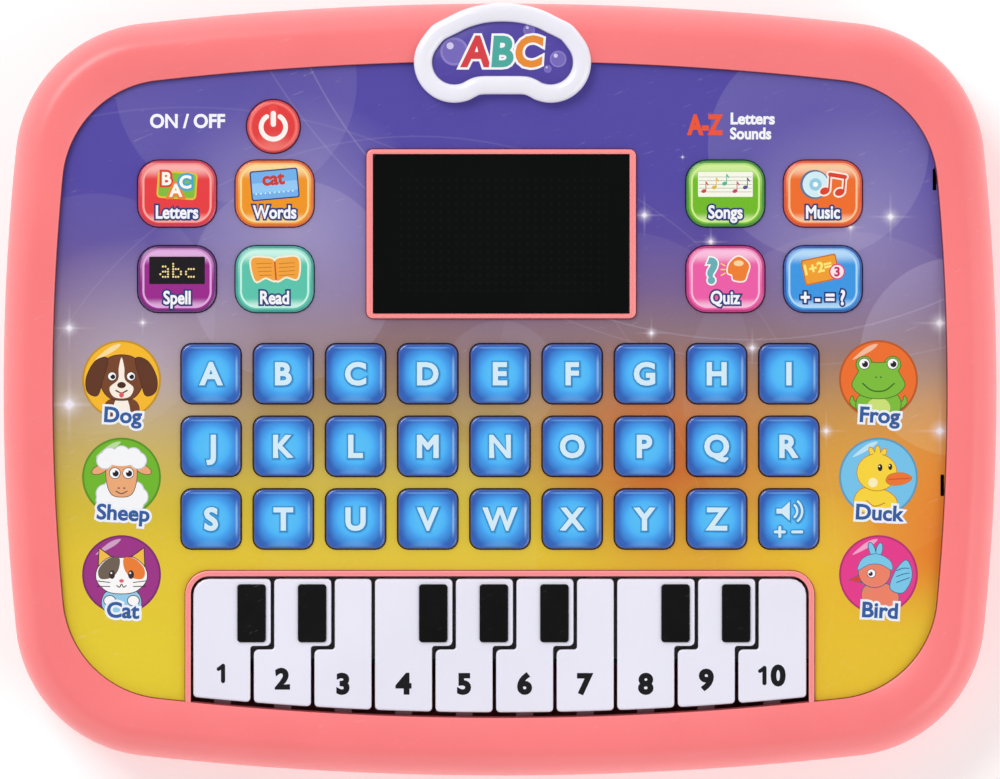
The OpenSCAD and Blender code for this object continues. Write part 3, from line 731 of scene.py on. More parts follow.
def mode_key_finish(name, fill, rim, line, glow):
    """Printed cap: dark rim, pale line, coloured field with a painted highlight band at its top and its
    foot.
    """
    finish = Finish(name, Coat_Weight=0.6, Coat_Roughness=0.1)
    x, y, z = finish.parts(finish.attribute("spot"))
    deep = finish.within(x, y, MODE_W / 2, MODE_H / 2, MODE_CORNER)
    field = finish.within(x, y, 8.1, 6.75, 3.9)
    # Painted highlight: pale bands at the top and the foot of the field, and a border that lightens towards
    # the top
    colour = finish.mix(y.ease(6.2, 3.2) * 0.9 + 0.1, glow, fill)
    colour = finish.mix(y.ease(-4.4, -6.6) * 0.85, colour, glow)
    border = finish.mix(y.ease(-2.0, 7.0) * 0.5, fill, glow)
    colour = finish.mix(field.ease(0.1, -0.1), colour, border)
    colour = finish.mix(field.size().ease(0.34, 0.12), colour, line)
    colour = finish.mix(deep.ease(0.75, 0.45).most(z.ease(*KEY_RIM_Z)), colour, rim)
    fleck = finish.noise(2.0, 3.0)
    finish.set("Base Color", finish.mix(fleck * 0.06, colour, rim))
    rubs = finish.handled(0.26, 0.6)
    finish.bumps((finish.noise(0.4, 2.0), 0.012), (fleck, 0.002), (rubs, -0.002))
    return finish


def power_finish():
    """Red cap with a darker skirt, and a painted highlight that makes the slightly domed foot of its face
    paler.
    """
    finish = Finish("power_finish", Coat_Weight=0.5, Coat_Roughness=0.12)
    x, y = finish.parts(finish.attribute("spot"))[:2]
    out = finish.far(x, y)
    # Painted highlight: the lower part of the face paler
    foot = finish.far(x, y, (0.0, -8.5)).ease(8.0, 3.0) * 0.55
    red = finish.mix(foot, rgb(234, 62, 62), rgb(255, 150, 140))
    red = finish.mix(out.ease(5.0, 5.5), red, rgb(252, 118, 112))
    red = finish.mix(out.ease(5.75, 6.05), red, rgb(214, 54, 60))
    fleck = finish.noise(1.8, 3.0)
    finish.set("Base Color", finish.mix(fleck * 0.10, red, rgb(150, 24, 34)))
    rubs = finish.handled(0.28, 0.8)
    finish.bumps((finish.noise(0.3, 2.0), 0.02), (fleck, 0.002), (rubs, -0.002))
    return finish


def smoked_window():
    """Near-black glossy window with the faint dots of the display behind it."""
    finish = Finish("smoked_window", Coat_Weight=0.04, Coat_Roughness=0.05, Specular_IOR_Level=0.25)
    pitch = 1.9
    cells = (axis / pitch for axis in (finish.x, finish.y))
    step_x, step_y = (cell.maths("FRACT", cell) - 0.5 for cell in cells)
    dots = (step_x * step_x + step_y * step_y).root().ease(0.3, 0.2)
    across, up = (finish.x - 0.3).size(), (finish.y - 37.5).size()
    matrix = dots * across.ease(26.0, 25.0) * up.ease(14.5, 13.5)
    smoke = finish.mix(finish.noise(0.06, 3.0), rgb(4, 5, 5), rgb(9, 10, 10))
    finish.set("Base Color", finish.mix(matrix * 0.35, smoke, rgb(20, 19, 20)))
    rubs = finish.handled(0.14, 0.5)
    finish.bumps((finish.noise(0.1, 2.0), 0.015), (rubs, -0.002))
    return finish


def board_finish():
    """Green solder mask with buried tracks; what stands off the board is black."""
    finish = Finish("board_finish", Coat_Weight=0.3)
    inputs = {"Vector": finish.place, "Scale": 0.28}
    fine = finish.node("TexVoronoi", {"feature": "DISTANCE_TO_EDGE"}, inputs)
    tracks = fine.ease(0.12, 0.06) * finish.noise(0.08, 2.0).ease(0.4, 0.6)
    mask = finish.mix(tracks, rgb(22, 92, 58), rgb(38, 128, 80))
    off = finish.z.ease(20.22, 20.26).most(finish.z.ease(18.58, 18.54))
    finish.set("Base Color", finish.mix(off, mask, rgb(24, 24, 26)))
    finish.handled(0.38)
    finish.bumps((tracks, 0.03), (finish.noise(1.5, 3.0), 0.004))
    return finish


def cell_finish():
    """Battery sleeve: two-colour foil with bare steel at both ends."""
    finish = Finish("cell_finish")
    ends = finish.x.size().ease(23.6, 23.9)
    side = finish.x.ease(9.0, 9.3)
    foil = finish.mix(side, rgb(40, 74, 120), rgb(206, 160, 60))
    grime = finish.noise(0.4, 4.0)
    foil = finish.mix(grime * 0.2, foil, rgb(20, 24, 36))
    finish.set("Base Color", finish.mix(ends, foil, rgb(190, 190, 188)))
    finish.set("Metallic", 0.25 + ends * 0.75)
    finish.handled(0.3)
    finish.bumps((finish.noise(0.2, 2.0), 0.03), (grime, 0.003))
    return finish


def speaker_finish():
    """Pressed frame with a felted paper cone."""
    finish = Finish("speaker_finish")
    out = finish.far(finish.x, finish.y, SPEAKER_AT)
    paper = finish.noise(1.2, 5.0, rough=0.7)
    cone = finish.mix(paper, rgb(28, 27, 28), rgb(70, 66, 62))
    rim = out.ease(16.8, 17.2)
    finish.set("Base Color", finish.mix(rim, cone, rgb(120, 122, 126)))
    finish.set("Metallic", rim * 0.9)
    finish.set("Roughness", 0.42 + (1 - rim) * 0.45 + paper * 0.08)
    waves = out * 1.6
    finish.bumps((paper, 0.04), (waves.maths("SINE", waves), 0.03))
    return finish


def key_white():
    """White key plastic, with painted shade: dark red down its walls and greyish mauve on the tongues
    underneath.
    """
    finish = Finish("key_white", Coat_Weight=0.3, Coat_Roughness=0.1)
    drift, cloud = finish.noise(0.028, 3.0), finish.noise(0.5, 3.0)
    shade = drift.ease(0.3, 0.7) * 0.7 + cloud * 0.3
    white = finish.mix(shade, rgb(234, 232, 246), rgb(240, 238, 252))
    # Painted shade in the gaps: the walls darken to dark red
    wall_shade = finish.z.ease(25.98, 25.5)
    white = finish.mix(wall_shade * 0.92, white, rgb(74, 14, 24))
    # Painted shade: the white tongues under the case's edge made greyish mauve
    white = finish.mix(finish.z.ease(23.6, 23.3), white, rgb(196, 142, 156))
    rubs = finish.handled(0.3, 0.4, 0.4)
    finish.set("Base Color", finish.mix(rubs * 0.04, white, rgb(200, 198, 206)))
    finish.bumps((finish.noise(3.2, 3.0), 0.002), (finish.noise(0.06, 2.0), 0.02), (rubs, -0.001))
    return finish


def lip_pink():
    """Case plastic on the raised lips: painted shade deeper along their feet, painted highlight paler
    along the crest.
    """
    finish = Finish("lip_pink", Coat_Weight=0.2, Coat_Roughness=0.15)
    cloud = finish.noise(0.5, 3.0)
    # Painted shade low on the lips and a painted highlight along their crest
    crest = finish.z.ease(25.3, 26.16)
    pink = finish.mix(crest, rgb(176, 58, 74), rgb(255, 150, 150))
    finish.set("Base Color", finish.mix(cloud * 0.08, pink, rgb(240, 120, 124)))
    rubs = finish.handled(0.3, 0.6)
    finish.bumps((finish.noise(3.2, 3.0), 0.004), (rubs, -0.002))
    return finish


PINK = moulded("case_pink", rgb(255, 126, 128), 0.36, Coat_Weight=0.12, Coat_Roughness=0.2)
REAR_PINK = moulded("rear_pink", rgb(250, 122, 126), 0.46, 0.012)
WHITE = key_white()
LIP = lip_pink()
BADGE_WHITE = moulded("badge_white", rgb(240, 238, 248), 0.24, 0.003, 0.02,
                      Coat_Weight=0.35, Coat_Roughness=0.1)
BADGE_VIOLET = moulded("badge_violet", rgb(84, 70, 166), 0.3, 0.002, 0.06, Coat_Weight=0.3)
PAD_BLACK = moulded("pad_black", rgb(9, 9, 11), 0.34, 0.004, 0.3, Specular_IOR_Level=0.25)
RUBBER = moulded("silicone", rgb(206, 206, 208), 0.62, 0.02, 0.04)
INK = printed_ink()
FILM = printed_film()
BLUE = letter_key_finish()
RED = power_finish()
STEEL = metal("screw_steel", rgb(186, 188, 192))
SPRING = metal("spring_steel", rgb(200, 196, 186), 0.24)


# ---------------------------------------------------------------- places, from the frame

def middle_of(node):
    """Middle of a node's box in the face's plane, in millimetres."""
    low, high = (np.array(corner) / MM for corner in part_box(node))
    return ((low + high) / 2)[:2]


LETTERS = "abcdefghijklmnopqrstuvwxyz"
LETTER_NODES = ["letter_key_" + c for c in LETTERS] + ["volume_key"]
MODES = ["letters", "words", "songs", "music", "spelling", "reading", "quiz", "maths"]
LETTER_AT = {node: middle_of(node) for node in LETTER_NODES}
MODE_AT = {mode: middle_of("mode_key_" + mode) for mode in MODES}
POWER_AT = middle_of("power_button")
SCREEN_AT = middle_of("screen_window")

# Touch zones: distance from the middle line, height of each row, radius of the hole under the film
TOUCH_X = 91.2
TOUCH_Y = (2.0, -21.5, -45.0)
TOUCH_HOLE_R = 7.5

# Screen: outside of its lip, the pane, the gap between them and the pane's underside
SCREEN_LIP = (65.0, 40.8)
SCREEN_GLASS = (61.7, 38.3)
SCREEN_GAP = 0.2
SCREEN_FOOT_Z = 24.3

# The piano's opening: left, right, back and corner radius, then the lip round it
PIANO = (-73.9, 73.8, -45.6, 3.8)
PIANO_LIP_GAP = 0.6
PIANO_LIP_W = 1.35


def key_windows(corner_gap, steps):
    """Loops of all the push keys' windows, wider than the caps by KEY_GAP all round. Their corners
    have the caps' radius plus corner_gap, and the round one has that many steps."""
    side, w, h = (size + 2 * KEY_GAP for size in (LETTER_SIDE, MODE_W, MODE_H))
    loops = [rounded(side, side, LETTER_CORNER + corner_gap, at) for at in LETTER_AT.values()]
    loops += [rounded(w, h, MODE_CORNER + corner_gap, at) for at in MODE_AT.values()]
    return [*loops, disc(*POWER_AT, POWER_R + KEY_GAP, steps=steps)]


def face_front_y(x, inset):
    """Height on Y of the face outline's lower edge, moved in by inset."""
    radius = FACE[3]
    return radius - FACE[1] - np.sqrt((radius - inset) ** 2 - np.asarray(x) ** 2)


def piano_path(grow, front_inset, steps=8):
    """The piano opening grown by grow, from its left front corner over the back to the right."""
    left, right, back, corner = PIANO
    left, right, back, corner = left - grow, right + grow, back + grow, corner + grow
    arc_1 = turned((left + corner, back - corner), corner, math.pi, math.pi / 2, steps)
    arc_2 = turned((right - corner, back - corner), corner, math.pi / 2, 0, steps)
    ends = [((x, face_front_y(x, front_inset)),) for x in (left, right)]
    return np.concatenate((ends[0], arc_1, arc_2, ends[1]))


def piano_window(grow, front_inset):
    """The same opening as a closed loop, with its front along the face's lower edge."""
    path = piano_path(grow, front_inset)
    x = np.linspace(path[-1, 0], path[0, 0], 34)[1:-1]
    front = np.c_[x, face_front_y(x, front_inset)]
    return np.concatenate((path, front))[::-1]


def catch_slits():
    """Loops of the two narrow windows at the right edge of the face."""
    loops = []
    for y in (50.6, -23.1):
        edge_x = FACE[0] - y * y / (2 * FACE[2])
        loops.append(rounded(0.9, 5.2, 0.2, (edge_x - 0.62, y), 2))
    return loops


# ---------------------------------------------------------------- case

def crown_height(d):
    """Height of the crown at an inset past the crest: a slow parabola down."""
    return CREST_Z - CROWN_FALL * ((d - CREST_INSET) / (FACE_INSET - CREST_INSET)) ** 2


def front_shell():
    """Frame: straight wall, elliptic shoulder (inset 6.8(1 - cos t), height 17 + 10.6 sin t), parabolic
    crown cut flat where the badge sits, rounded brink round the sunken face; then the plate with the
    keys' windows and the hollow underside."""
    skin = Skin()
    fine = (18, 30, 76)

    def case(inset, z):
        return at_height(barrel(CASE, inset, fine), z)

    outer = barrel(CASE, 0.0, fine)
    face = barrel(FACE, 0.0, fine)
    crest = barrel(CASE, CREST_INSET, fine)
    depth = np.array([np.linalg.norm(outer - p, axis=1).min() for p in face])
    depth = np.minimum(depth, FACE_INSET)
    rings = [case(SEAM_INSET, PARTING_Z), case(0.0, PARTING_Z + SEAM_RISE)]
    for a in np.radians(np.linspace(0, 90, 14)):
        height = SHOULDER_Z + (CREST_Z - SHOULDER_Z) * math.sin(a)
        rings.append(case(CREST_INSET * (1 - math.cos(a)), height))
    brink = 0.45
    for s in np.linspace(0, 1, 15)[1:]:
        inset = CREST_INSET + (depth - CREST_INSET) * s
        loop = crest + (barrel(FACE, -brink, fine) - crest) * s
        rings.append(np.c_[loop, crown_height(inset)])
    for a in np.radians((30, 60, 90)):
        drop = brink * (1 - math.cos(a))
        loop = barrel(FACE, -brink * (1 - math.sin(a)), fine)
        rings.append(np.c_[loop, crown_height(depth) - drop])
    rings.append(at_height(face, PLATE_Z[1]))
    seat = grown(badge_outline(), -2.0)
    for ring in rings:
        under_badge = winding(ring[:, :2], seat) != 0
        ring[under_badge, 2] = np.minimum(ring[under_badge, 2], BADGE_SEAT_Z)
    skin.sweep(rings)

    windows = [*key_windows(0.0, 40), piano_window(PIANO_LIP_GAP, 0.2), *catch_slits()]
    glass_w, glass_h = (size + SCREEN_GAP for size in SCREEN_GLASS)
    windows += [rounded(glass_w, glass_h, 0.6, SCREEN_AT)]
    windows += [disc(side * TOUCH_X, y, TOUCH_HOLE_R) for side in (-1, 1) for y in TOUCH_Y]
    skin.flat([face, *windows], PLATE_Z[1])
    rib = barrel(FACE, -1.0, fine)
    rib_top = PLATE_Z[0] + 0.5
    skin.flat([rib, *windows], PLATE_Z[0])
    for loop in windows:
        skin.sweep([at_height(loop, z) for z in PLATE_Z])

    under = [at_height(rib, PLATE_Z[0]), at_height(rib, rib_top), case(10.4, rib_top)]
    for a in np.radians((90, 65, 40, 20, 0)):
        height = SHOULDER_Z + (UNDER_CREST_Z - SHOULDER_Z) * math.sin(a)
        under.append(case(WALL + (CREST_INSET - WALL) * (1 - math.cos(a)), height))
    skin.sweep([*under, case(WALL, PARTING_Z), case(SEAM_INSET, PARTING_Z)])

    # Painted shadow line: points on the brink just inside the face's edge, above the plate, get a full
    # share
    def seam(points):
        inside = winding(points[:, :2], barrel(FACE, -0.15)) != 0
        return (inside & (points[:, 2] > PLATE_Z[1] - 0.1)).astype(np.float32)

    return skin.made("front_shell", PINK, "housing", ["front_cover"], crease=seam)


def raised_lips():
    """Soft ridges round the screen and the piano: a rounded top between two short walls, with a fine
    moulded groove along the middle."""
    low, top = PLATE_Z[1] - 0.1, KEY_TOP_Z
    glass_gap = (SCREEN_LIP[0] - SCREEN_GLASS[0] - SCREEN_GAP) / 2
    profile = [(0.0, low), *quarter_round(0.45, top, 0.0, 4), (0.85, top), (0.95, top - 0.1)]
    profile += [(1.05, top - 0.02), (glass_gap - 0.2, top - 0.02)]
    profile += [(glass_gap, top - 0.2), (glass_gap, SCREEN_FOOT_Z)]
    rings = []
    for d, z in profile:
        w, h = SCREEN_LIP[0] - 2 * d, SCREEN_LIP[1] - 2 * min(d, 1.15)
        rings.append(at_height(rounded(w, h, max(1.6 - d, 0.3), SCREEN_AT), z))
    skin = Skin()
    skin.sweep(rings)
    skin.made("screen_lip", LIP, "housing")

    top = 26.4
    outer = PIANO_LIP_GAP + PIANO_LIP_W
    profile = [(outer, low)]
    profile += [(outer - d, z) for d, z in quarter_round(0.4, top, 0.0, 4)]
    profile += [(outer - 0.62, top - 0.01), (outer - 0.7, top - 0.09), (outer - 0.78, top - 0.01)]
    profile += [(PIANO_LIP_GAP + 0.3 - 0.3 * math.sin(a), top - 0.3 + 0.3 * math.cos(a))
                for a in np.radians((0, 30, 60, 90))]
    profile += [(PIANO_LIP_GAP, PLATE_Z[0])]
    skin = Skin()
    skin.sweep([at_height(piano_path(g, -0.35, 12), z) for g, z in profile], closed=False)
    skin.made("piano_lip", LIP, "housing")


def film_edge(inset, path):
    """The face's edge, moved in by inset, with the piano opening cut out of its lower side."""
    edge = barrel(FACE, inset)
    x, y = edge.T
    cut = (x > path[0, 0]) & (x < path[-1, 0]) & (y < 0)
    kept = np.roll(edge, -(np.nonzero(cut)[0][-1] + 1), 0)[:np.count_nonzero(~cut)]
    return np.concatenate((kept, path))


def face_film():
    """The film: one sheet with a window for every key, the screen's lip and the piano's lip."""
    skin = Skin()
    inset = 0.1
    path = piano_path(PIANO_LIP_GAP + PIANO_LIP_W + 0.15, inset, 12)
    lip_w, lip_h = (size + 0.3 for size in SCREEN_LIP)
    loops = [film_edge(inset, path), *key_windows(KEY_GAP, 48), *catch_slits()]
    loops += [rounded(lip_w, lip_h, 1.7, SCREEN_AT)]
    for z in FILM_Z:
        skin.flat(loops, z)
    for loop in loops:
        skin.sweep([at_height(loop, z) for z in FILM_Z])
    return skin.made("face_film", FILM, "housing", ["face_overlay"])


# Rear shell: its rounded lower edge, floor, screw tubes and the tub for the cells
REAR_EDGE_IN, REAR_EDGE_UP = 6.0, 8.0
REAR_FLOOR_Z = 2.0
SCREWS = [(-40, 81), (40, 81), (-108, 0), (108, 0), (-62, -81.5), (62, -81.5)]
SCREW_RECESS_R, SCREW_HOLE_R, SCREW_TUBE_R = 3.1, 1.6, 4.6
SCREW_SEAT_Z = 7.5
TUB_AT = (0, 38.3)


def sound_holes():
    """Loops of the speaker's holes: one in the middle, then rings of 6, 12 and 18."""
    pitch, r = 4.2, 1.2
    x, y = SPEAKER_AT
    holes = []
    for ring in range(4):
        for k in range(max(1, 6 * ring)):
            a = math.radians(60 / max(1, ring) * k)
            out = pitch * ring
            holes.append(disc(x + out * math.cos(a), y + out * math.sin(a), r, steps=20))
    return holes


def rear_shell():
    """Back: wall rounded under by a quarter ellipse, flat floor with the door's opening, six deep screw
    recesses and rings of sound holes; a tub for the cells and a boss for the door's screw stand on it."""
    skin = Skin()
    door = rounded(60, 54, 0.4, (0, 33), 2)
    holes = sound_holes()
    seam = at_height(barrel(CASE, SEAM_INSET), PARTING_Z)
    t = np.radians(np.linspace(0, 90, 9))
    rings = [seam, at_height(barrel(CASE, 0.0), PARTING_Z - SEAM_RISE)]
    for a in t:
        loop = barrel(CASE, REAR_EDGE_IN * (1 - math.cos(a)))
        rings.append(at_height(loop, REAR_EDGE_UP * (1 - math.sin(a))))
    skin.sweep(rings)
    recesses = [disc(*p, SCREW_RECESS_R, steps=32) for p in SCREWS]
    skin.flat([barrel(CASE, REAR_EDGE_IN), door, *holes, *recesses], 0.0)

    inner = []
    for a in t[::-1]:
        loop = barrel(CASE, WALL + WALL * (1 - math.cos(a)))
        height = REAR_FLOOR_Z + (REAR_EDGE_UP - REAR_FLOOR_Z) * (1 - math.sin(a))
        inner.append(at_height(loop, height))
    skin.sweep([*inner, at_height(barrel(CASE, WALL), PARTING_Z), seam])
    tubes = [disc(*p, SCREW_TUBE_R, steps=32) for p in SCREWS]
    skin.flat([barrel(CASE, 2 * WALL), door, *holes, *tubes], REAR_FLOOR_Z)
    for loop in (door, *holes):
        skin.sweep([at_height(loop, z) for z in (0.0, REAR_FLOOR_Z)])
    tube = [(SCREW_RECESS_R, 0.0), (SCREW_RECESS_R, SCREW_SEAT_Z), (SCREW_HOLE_R, SCREW_SEAT_Z),
            (SCREW_HOLE_R, PARTING_Z), (SCREW_TUBE_R, PARTING_Z), (SCREW_TUBE_R, REAR_FLOOR_Z)]
    for x, y in SCREWS:
        skin.sweep([at_height(disc(x, y, r, steps=32), z) for r, z in tube])

    foot = REAR_FLOOR_Z + 0.02
    outside, inside = rounded(63, 52.8, 0.6, TUB_AT, 2), rounded(60, 49.8, 0.3, TUB_AT, 2)
    for loop, roof in ((outside, 18.4), (inside, 17.2)):
        skin.sweep([at_height(loop, z) for z in (foot, roof)])
        skin.flat([loop], roof)
    skin.flat([outside, inside], foot)
    boss = [rounded(8, 4.9, 0.4, (0, 9.45), 2), disc(0, 9.6, 1.75, steps=24)]
    boss_z = (2.45, 11.4)
    for z in boss_z:
        skin.flat(boss, z)
    for loop in boss:
        skin.sweep([at_height(loop, z) for z in boss_z])
    return skin.made("rear_shell", REAR_PINK, "housing", ["rear_cover"])


# ---------------------------------------------------------------- push keys

# A cap's section: foot and roof of its hollow, wall, rounded edge, flange and plunger
CAP_FOOT_Z = 22.3
CAP_ROOF_Z = 24.7
CAP_WALL = 1.7
CAP_EDGE_R = 0.62
CAP_SWELL = 0.1
FLANGE = 0.7
FLANGE_TOP_Z = 23.3
PLUNGER_R = 2.2


def push_cap(name, node, inset_loop, finish, spot):
    """Cap: hollow skirt with a flange under the plate, rounded shoulder, and a top that swells by a
    tenth of a millimetre towards its flat middle; a round plunger stands under the roof."""
    skin = Skin()
    edge = KEY_TOP_Z - CAP_SWELL
    crown = [(CAP_EDGE_R + 2.1 * s, edge + CAP_SWELL * math.sin(s * math.pi / 2))
             for s in (0.25, 0.5, 0.75, 1.0)]
    profile = [(CAP_WALL, CAP_ROOF_Z), (CAP_WALL, CAP_FOOT_Z), (-FLANGE, CAP_FOOT_Z)]
    profile += [(-FLANGE, FLANGE_TOP_Z), (0.0, FLANGE_TOP_Z)]
    profile += [*quarter_round(CAP_EDGE_R, edge, 0.0, 6), *crown, (crown[-1][0] + 0.1, KEY_TOP_Z)]
    skin.body(inset_loop, profile)
    skin.turn([(PLUNGER_R, CAP_FOOT_Z), (PLUNGER_R, CAP_ROOF_Z)], (*spot, 0), steps=16)
    return skin.made(name, finish, node, [node], 40, spot)


def letter_keys():
    """Square blue caps: 26 letters and the volume key, each with its sign on a soft blue shadow."""
    shadow = (0.08, -0.1)
    for node in LETTER_NODES:
        at = LETTER_AT[node]
        name = node.replace("key", "cap")

        def square(d, at=at):
            side = LETTER_SIDE - 2 * d
            return rounded(side, side, max(LETTER_CORNER - 0.8 * d, 0.4), at)

        push_cap(name, node, square, BLUE, at)
        if node == "volume_key":
            loops = speaker_symbol(at)
        else:
            loops = lettering(node[-1].upper(), 5.05, at, 0.055)
        paints = [((62, 160, 226), fattened(loops, 0.46, shadow)),
                  ((48, 134, 196), fattened(loops, 0.26, shadow)), ((214, 238, 250), loops)]
        artwork(name.replace("cap", "print"), paints, KEY_TOP_Z + PRINT_LIFT, node,
                INK)


def speaker_symbol(at):
    """Loudspeaker with two sound arcs, over a plus and a minus."""
    x, y = at
    horn = np.array([(-3.0, 0.7), (-1.7, 0.7), (0.2, -1.0), (0.2, 3.6), (-1.7, 1.9), (-3.0, 1.9)])
    loops = [horn + (x, y + 0.6)]
    for r in (1.9, 3.1):
        loops.append(band(turned((x + 0.1, y + 1.9), r, -0.85, 0.85, 10), 0.55))
    loops.append(band([(x - 3.3, y - 3.1), (x - 1.1, y - 3.1)], 0.7))
    loops.append(band([(x - 2.2, y - 4.2), (x - 2.2, y - 2.0)], 0.7))
    loops.append(band([(x + 0.9, y - 3.1), (x + 3.1, y - 3.1)], 0.7))
    return [anticlockwise(loop) for loop in loops]


def power_button():
    """Round red cap with a white ring, open at its top, and a bar in the opening."""
    at, white, red = POWER_AT, (255, 244, 240), (238, 72, 70)

    def circle(d):
        return disc(*at, POWER_R - d, steps=64)

    push_cap("power_cap", "power_button", circle, RED, at)
    ring = band(turned(at - (0, 0.15), 2.95, math.radians(122), math.radians(418), 40), 1.15)
    bar = band([at + (0, 0.5), at + (0, 3.1)], 1.25)
    gap = band([at + (0, 0.6), at + (0, 4.4)], 2.1)
    artwork("power_print", [(white, [ring]), (red, [gap]), (white, [bar])],
            KEY_TOP_Z + PRINT_LIFT, "power_button", INK)


# Colours of a mode key: field, rim, line inside the rim, painted highlight bands
MODE_COLOURS = {
    "letters": ((236, 62, 66), (200, 54, 84), (255, 176, 170), (255, 190, 184)),
    "words": ((244, 152, 30), (226, 104, 40), (255, 222, 150), (255, 226, 170)),
    "songs": ((116, 190, 36), (58, 138, 44), (214, 246, 150), (222, 248, 170)),
    "music": ((244, 112, 40), (222, 76, 40), (255, 206, 160), (255, 212, 176)),
    "spelling": ((158, 38, 142), (92, 30, 112), (232, 176, 232), (236, 190, 236)),
    "reading": ((92, 200, 174), (60, 160, 150), (206, 250, 236), (214, 252, 240)),
    "quiz": ((242, 96, 170), (196, 40, 128), (255, 196, 226), (255, 206, 232)),
    "maths": ((60, 154, 232), (34, 84, 168), (184, 224, 255), (196, 230, 255)),
}
NAVY = (38, 56, 120)
WHITE_INK = (255, 255, 255)
LABEL_WHITE = (246, 246, 252)
MODE_WORDS = {
    "letters": "Letters", "words": "Words", "songs": "Songs", "music": "Music",
    "spelling": "Spell", "reading": "Read", "quiz": "Quiz", "maths": "+ - = ?",
}


def tile(w, h, r, centre, turn=0.0):
    """Rounded rectangle turned by turn degrees about its middle."""
    c, s = math.cos(math.radians(turn)), math.sin(math.radians(turn))
    return rounded(w, h, r, (0, 0), 4) @ np.array(((c, s), (-s, c))) + centre


def note(x, y, size):
    """Single note: tilted head, stem and flag."""
    head = disc(x, y, 0.62 * size, 0.45 * size, 20, 20)
    stem = band([(x + 0.5 * size, y), (x + 0.5 * size, y + 2.2 * size)], 0.2 * size)
    flag = band([(x + 0.5 * size, y + 2.2 * size), (x + 1.0 * size, y + 1.5 * size)], 0.3 * size)
    return [head, stem, flag]


def letters_picture(x, y):
    """Green board with a yellow frame and three letters."""
    paints = [((232, 196, 60), [tile(9.6, 6.6, 1.0, (x, y - 0.2), -4)]),
              ((132, 190, 60), [tile(8.8, 5.8, 0.8, (x, y - 0.2), -4)])]
    signs = (("B", (226, 66, 52), (-2.5, 1.4)), ("A", (242, 128, 52), (-0.3, -1.4)),
             ("C", (70, 168, 206), (2.0, 0.6)))
    for text, colour, (dx, dy) in signs:
        loops = lettering(text, 2.9, (x + dx, y + dy), 0.05)
        paints += [(colour, fattened(loops, 0.55)), ((255, 250, 240), loops)]
    return paints


def words_picture(x, y):
    """Blue card with a short word and a dotted line under it."""
    paints = [(NAVY, [tile(11.6, 7.2, 0.6, (x, y), 5)]),
              ((116, 178, 236), [tile(11.0, 6.6, 0.4, (x, y), 5)]),
              ((150, 202, 246), [tile(11.0, 2.4, 0.4, (x + 0.05, y - 0.6), 5)]),
              ((206, 62, 46), lettering("cat", 3.0, (x - 0.3, y + 1.5), 0.06, turn=5))]
    for k in range(9):
        dot = disc(x - 4.4 + 1.1 * k, y - 2.35 + 0.1 * k, 0.2, steps=8)
        paints.append(((236, 246, 255), [dot]))
    return paints


def songs_picture(x, y):
    """Sheet of five lines with five coloured notes."""
    paints = [((250, 250, 236), [tile(13.2, 6.0, 0.3, (x, y))])]
    for k in range(5):
        row = y - 1.8 + 0.9 * k
        paints.append(((150, 160, 140), [band([(x - 6.3, row), (x + 6.3, row)], 0.12)]))
    colours = ((214, 62, 60), (226, 186, 60), (80, 184, 150), (204, 60, 110), (92, 84, 150))
    for k, colour in enumerate(colours):
        paints.append((colour, note(x - 5.2 + 2.5 * k, y - 1.2 + (k % 3) * 0.9 - 0.4, 1.0)))
    return paints


def music_picture(x, y):
    """Pale disc with a pair of joined notes in front."""
    paints = [((90, 120, 150), [disc(x - 2.0, y, 3.5)]), ((214, 240, 248), [disc(x - 1.8, y, 3.1)]),
              ((150, 206, 226), [disc(x - 1.8, y, 1.5)]), (WHITE_INK, [disc(x - 1.8, y, 0.6)])]
    pair = [disc(x + 0.4, y - 1.6, 1.15, 0.85, 20), disc(x + 4.0, y - 1.9, 1.15, 0.85, 20),
            band([(x + 1.4, y - 1.5), (x + 1.7, y + 2.6)], 0.4),
            band([(x + 5.0, y - 1.8), (x + 5.3, y + 2.0)], 0.4),
            band([(x + 1.7, y + 2.4), (x + 5.3, y + 1.8)], 1.0)]
    pair = [anticlockwise(loop) for loop in pair]
    return paints + [((255, 240, 226), fattened(pair, 0.4)), ((222, 66, 44), pair)]


def spelling_picture(x, y):
    """Dark display with three letters in lit dots."""
    return [((24, 18, 24), [tile(13.4, 6.6, 0.3, (x, y - 0.1))]),
            ((250, 226, 150), dotted_word("abc", (x, y - 0.1), 0.62))]


def reading_picture(x, y):
    """Open book with lines on both pages and a red spine."""
    left = smooth([(x - 5.6, y + 2.4), (x - 2.4, y + 2.9), (x, y + 2.0), (x + 0.3, y - 2.4),
                   (x - 2.2, y - 1.8), (x - 4.6, y - 2.6)], 5)
    right = smooth([(x + 0.1, y + 2.1), (x + 2.6, y + 3.0), (x + 5.7, y + 2.7), (x + 5.5, y - 2.0),
                    (x + 2.8, y - 1.6), (x + 0.4, y - 2.5)], 5)
    pages, brown = [anticlockwise(left), anticlockwise(right)], (206, 122, 40)
    paints = [((250, 240, 216), fattened(pages, 0.42)), ((244, 164, 60), pages)]
    for k in range(4):
        row = y + 1.5 - 0.95 * k
        paints.append((brown, [band([(x + 1.1, row), (x + 4.8, row + 0.25)], 0.2)]))
        paints.append((brown, [band([(x - 4.3 + 0.2 * k, row), (x - 0.8, row + 0.1)], 0.2)]))
    paints.append(((214, 66, 48), [band([(x + 0.05, y + 1.9), (x + 0.35, y - 2.3)], 0.35)]))
    return paints


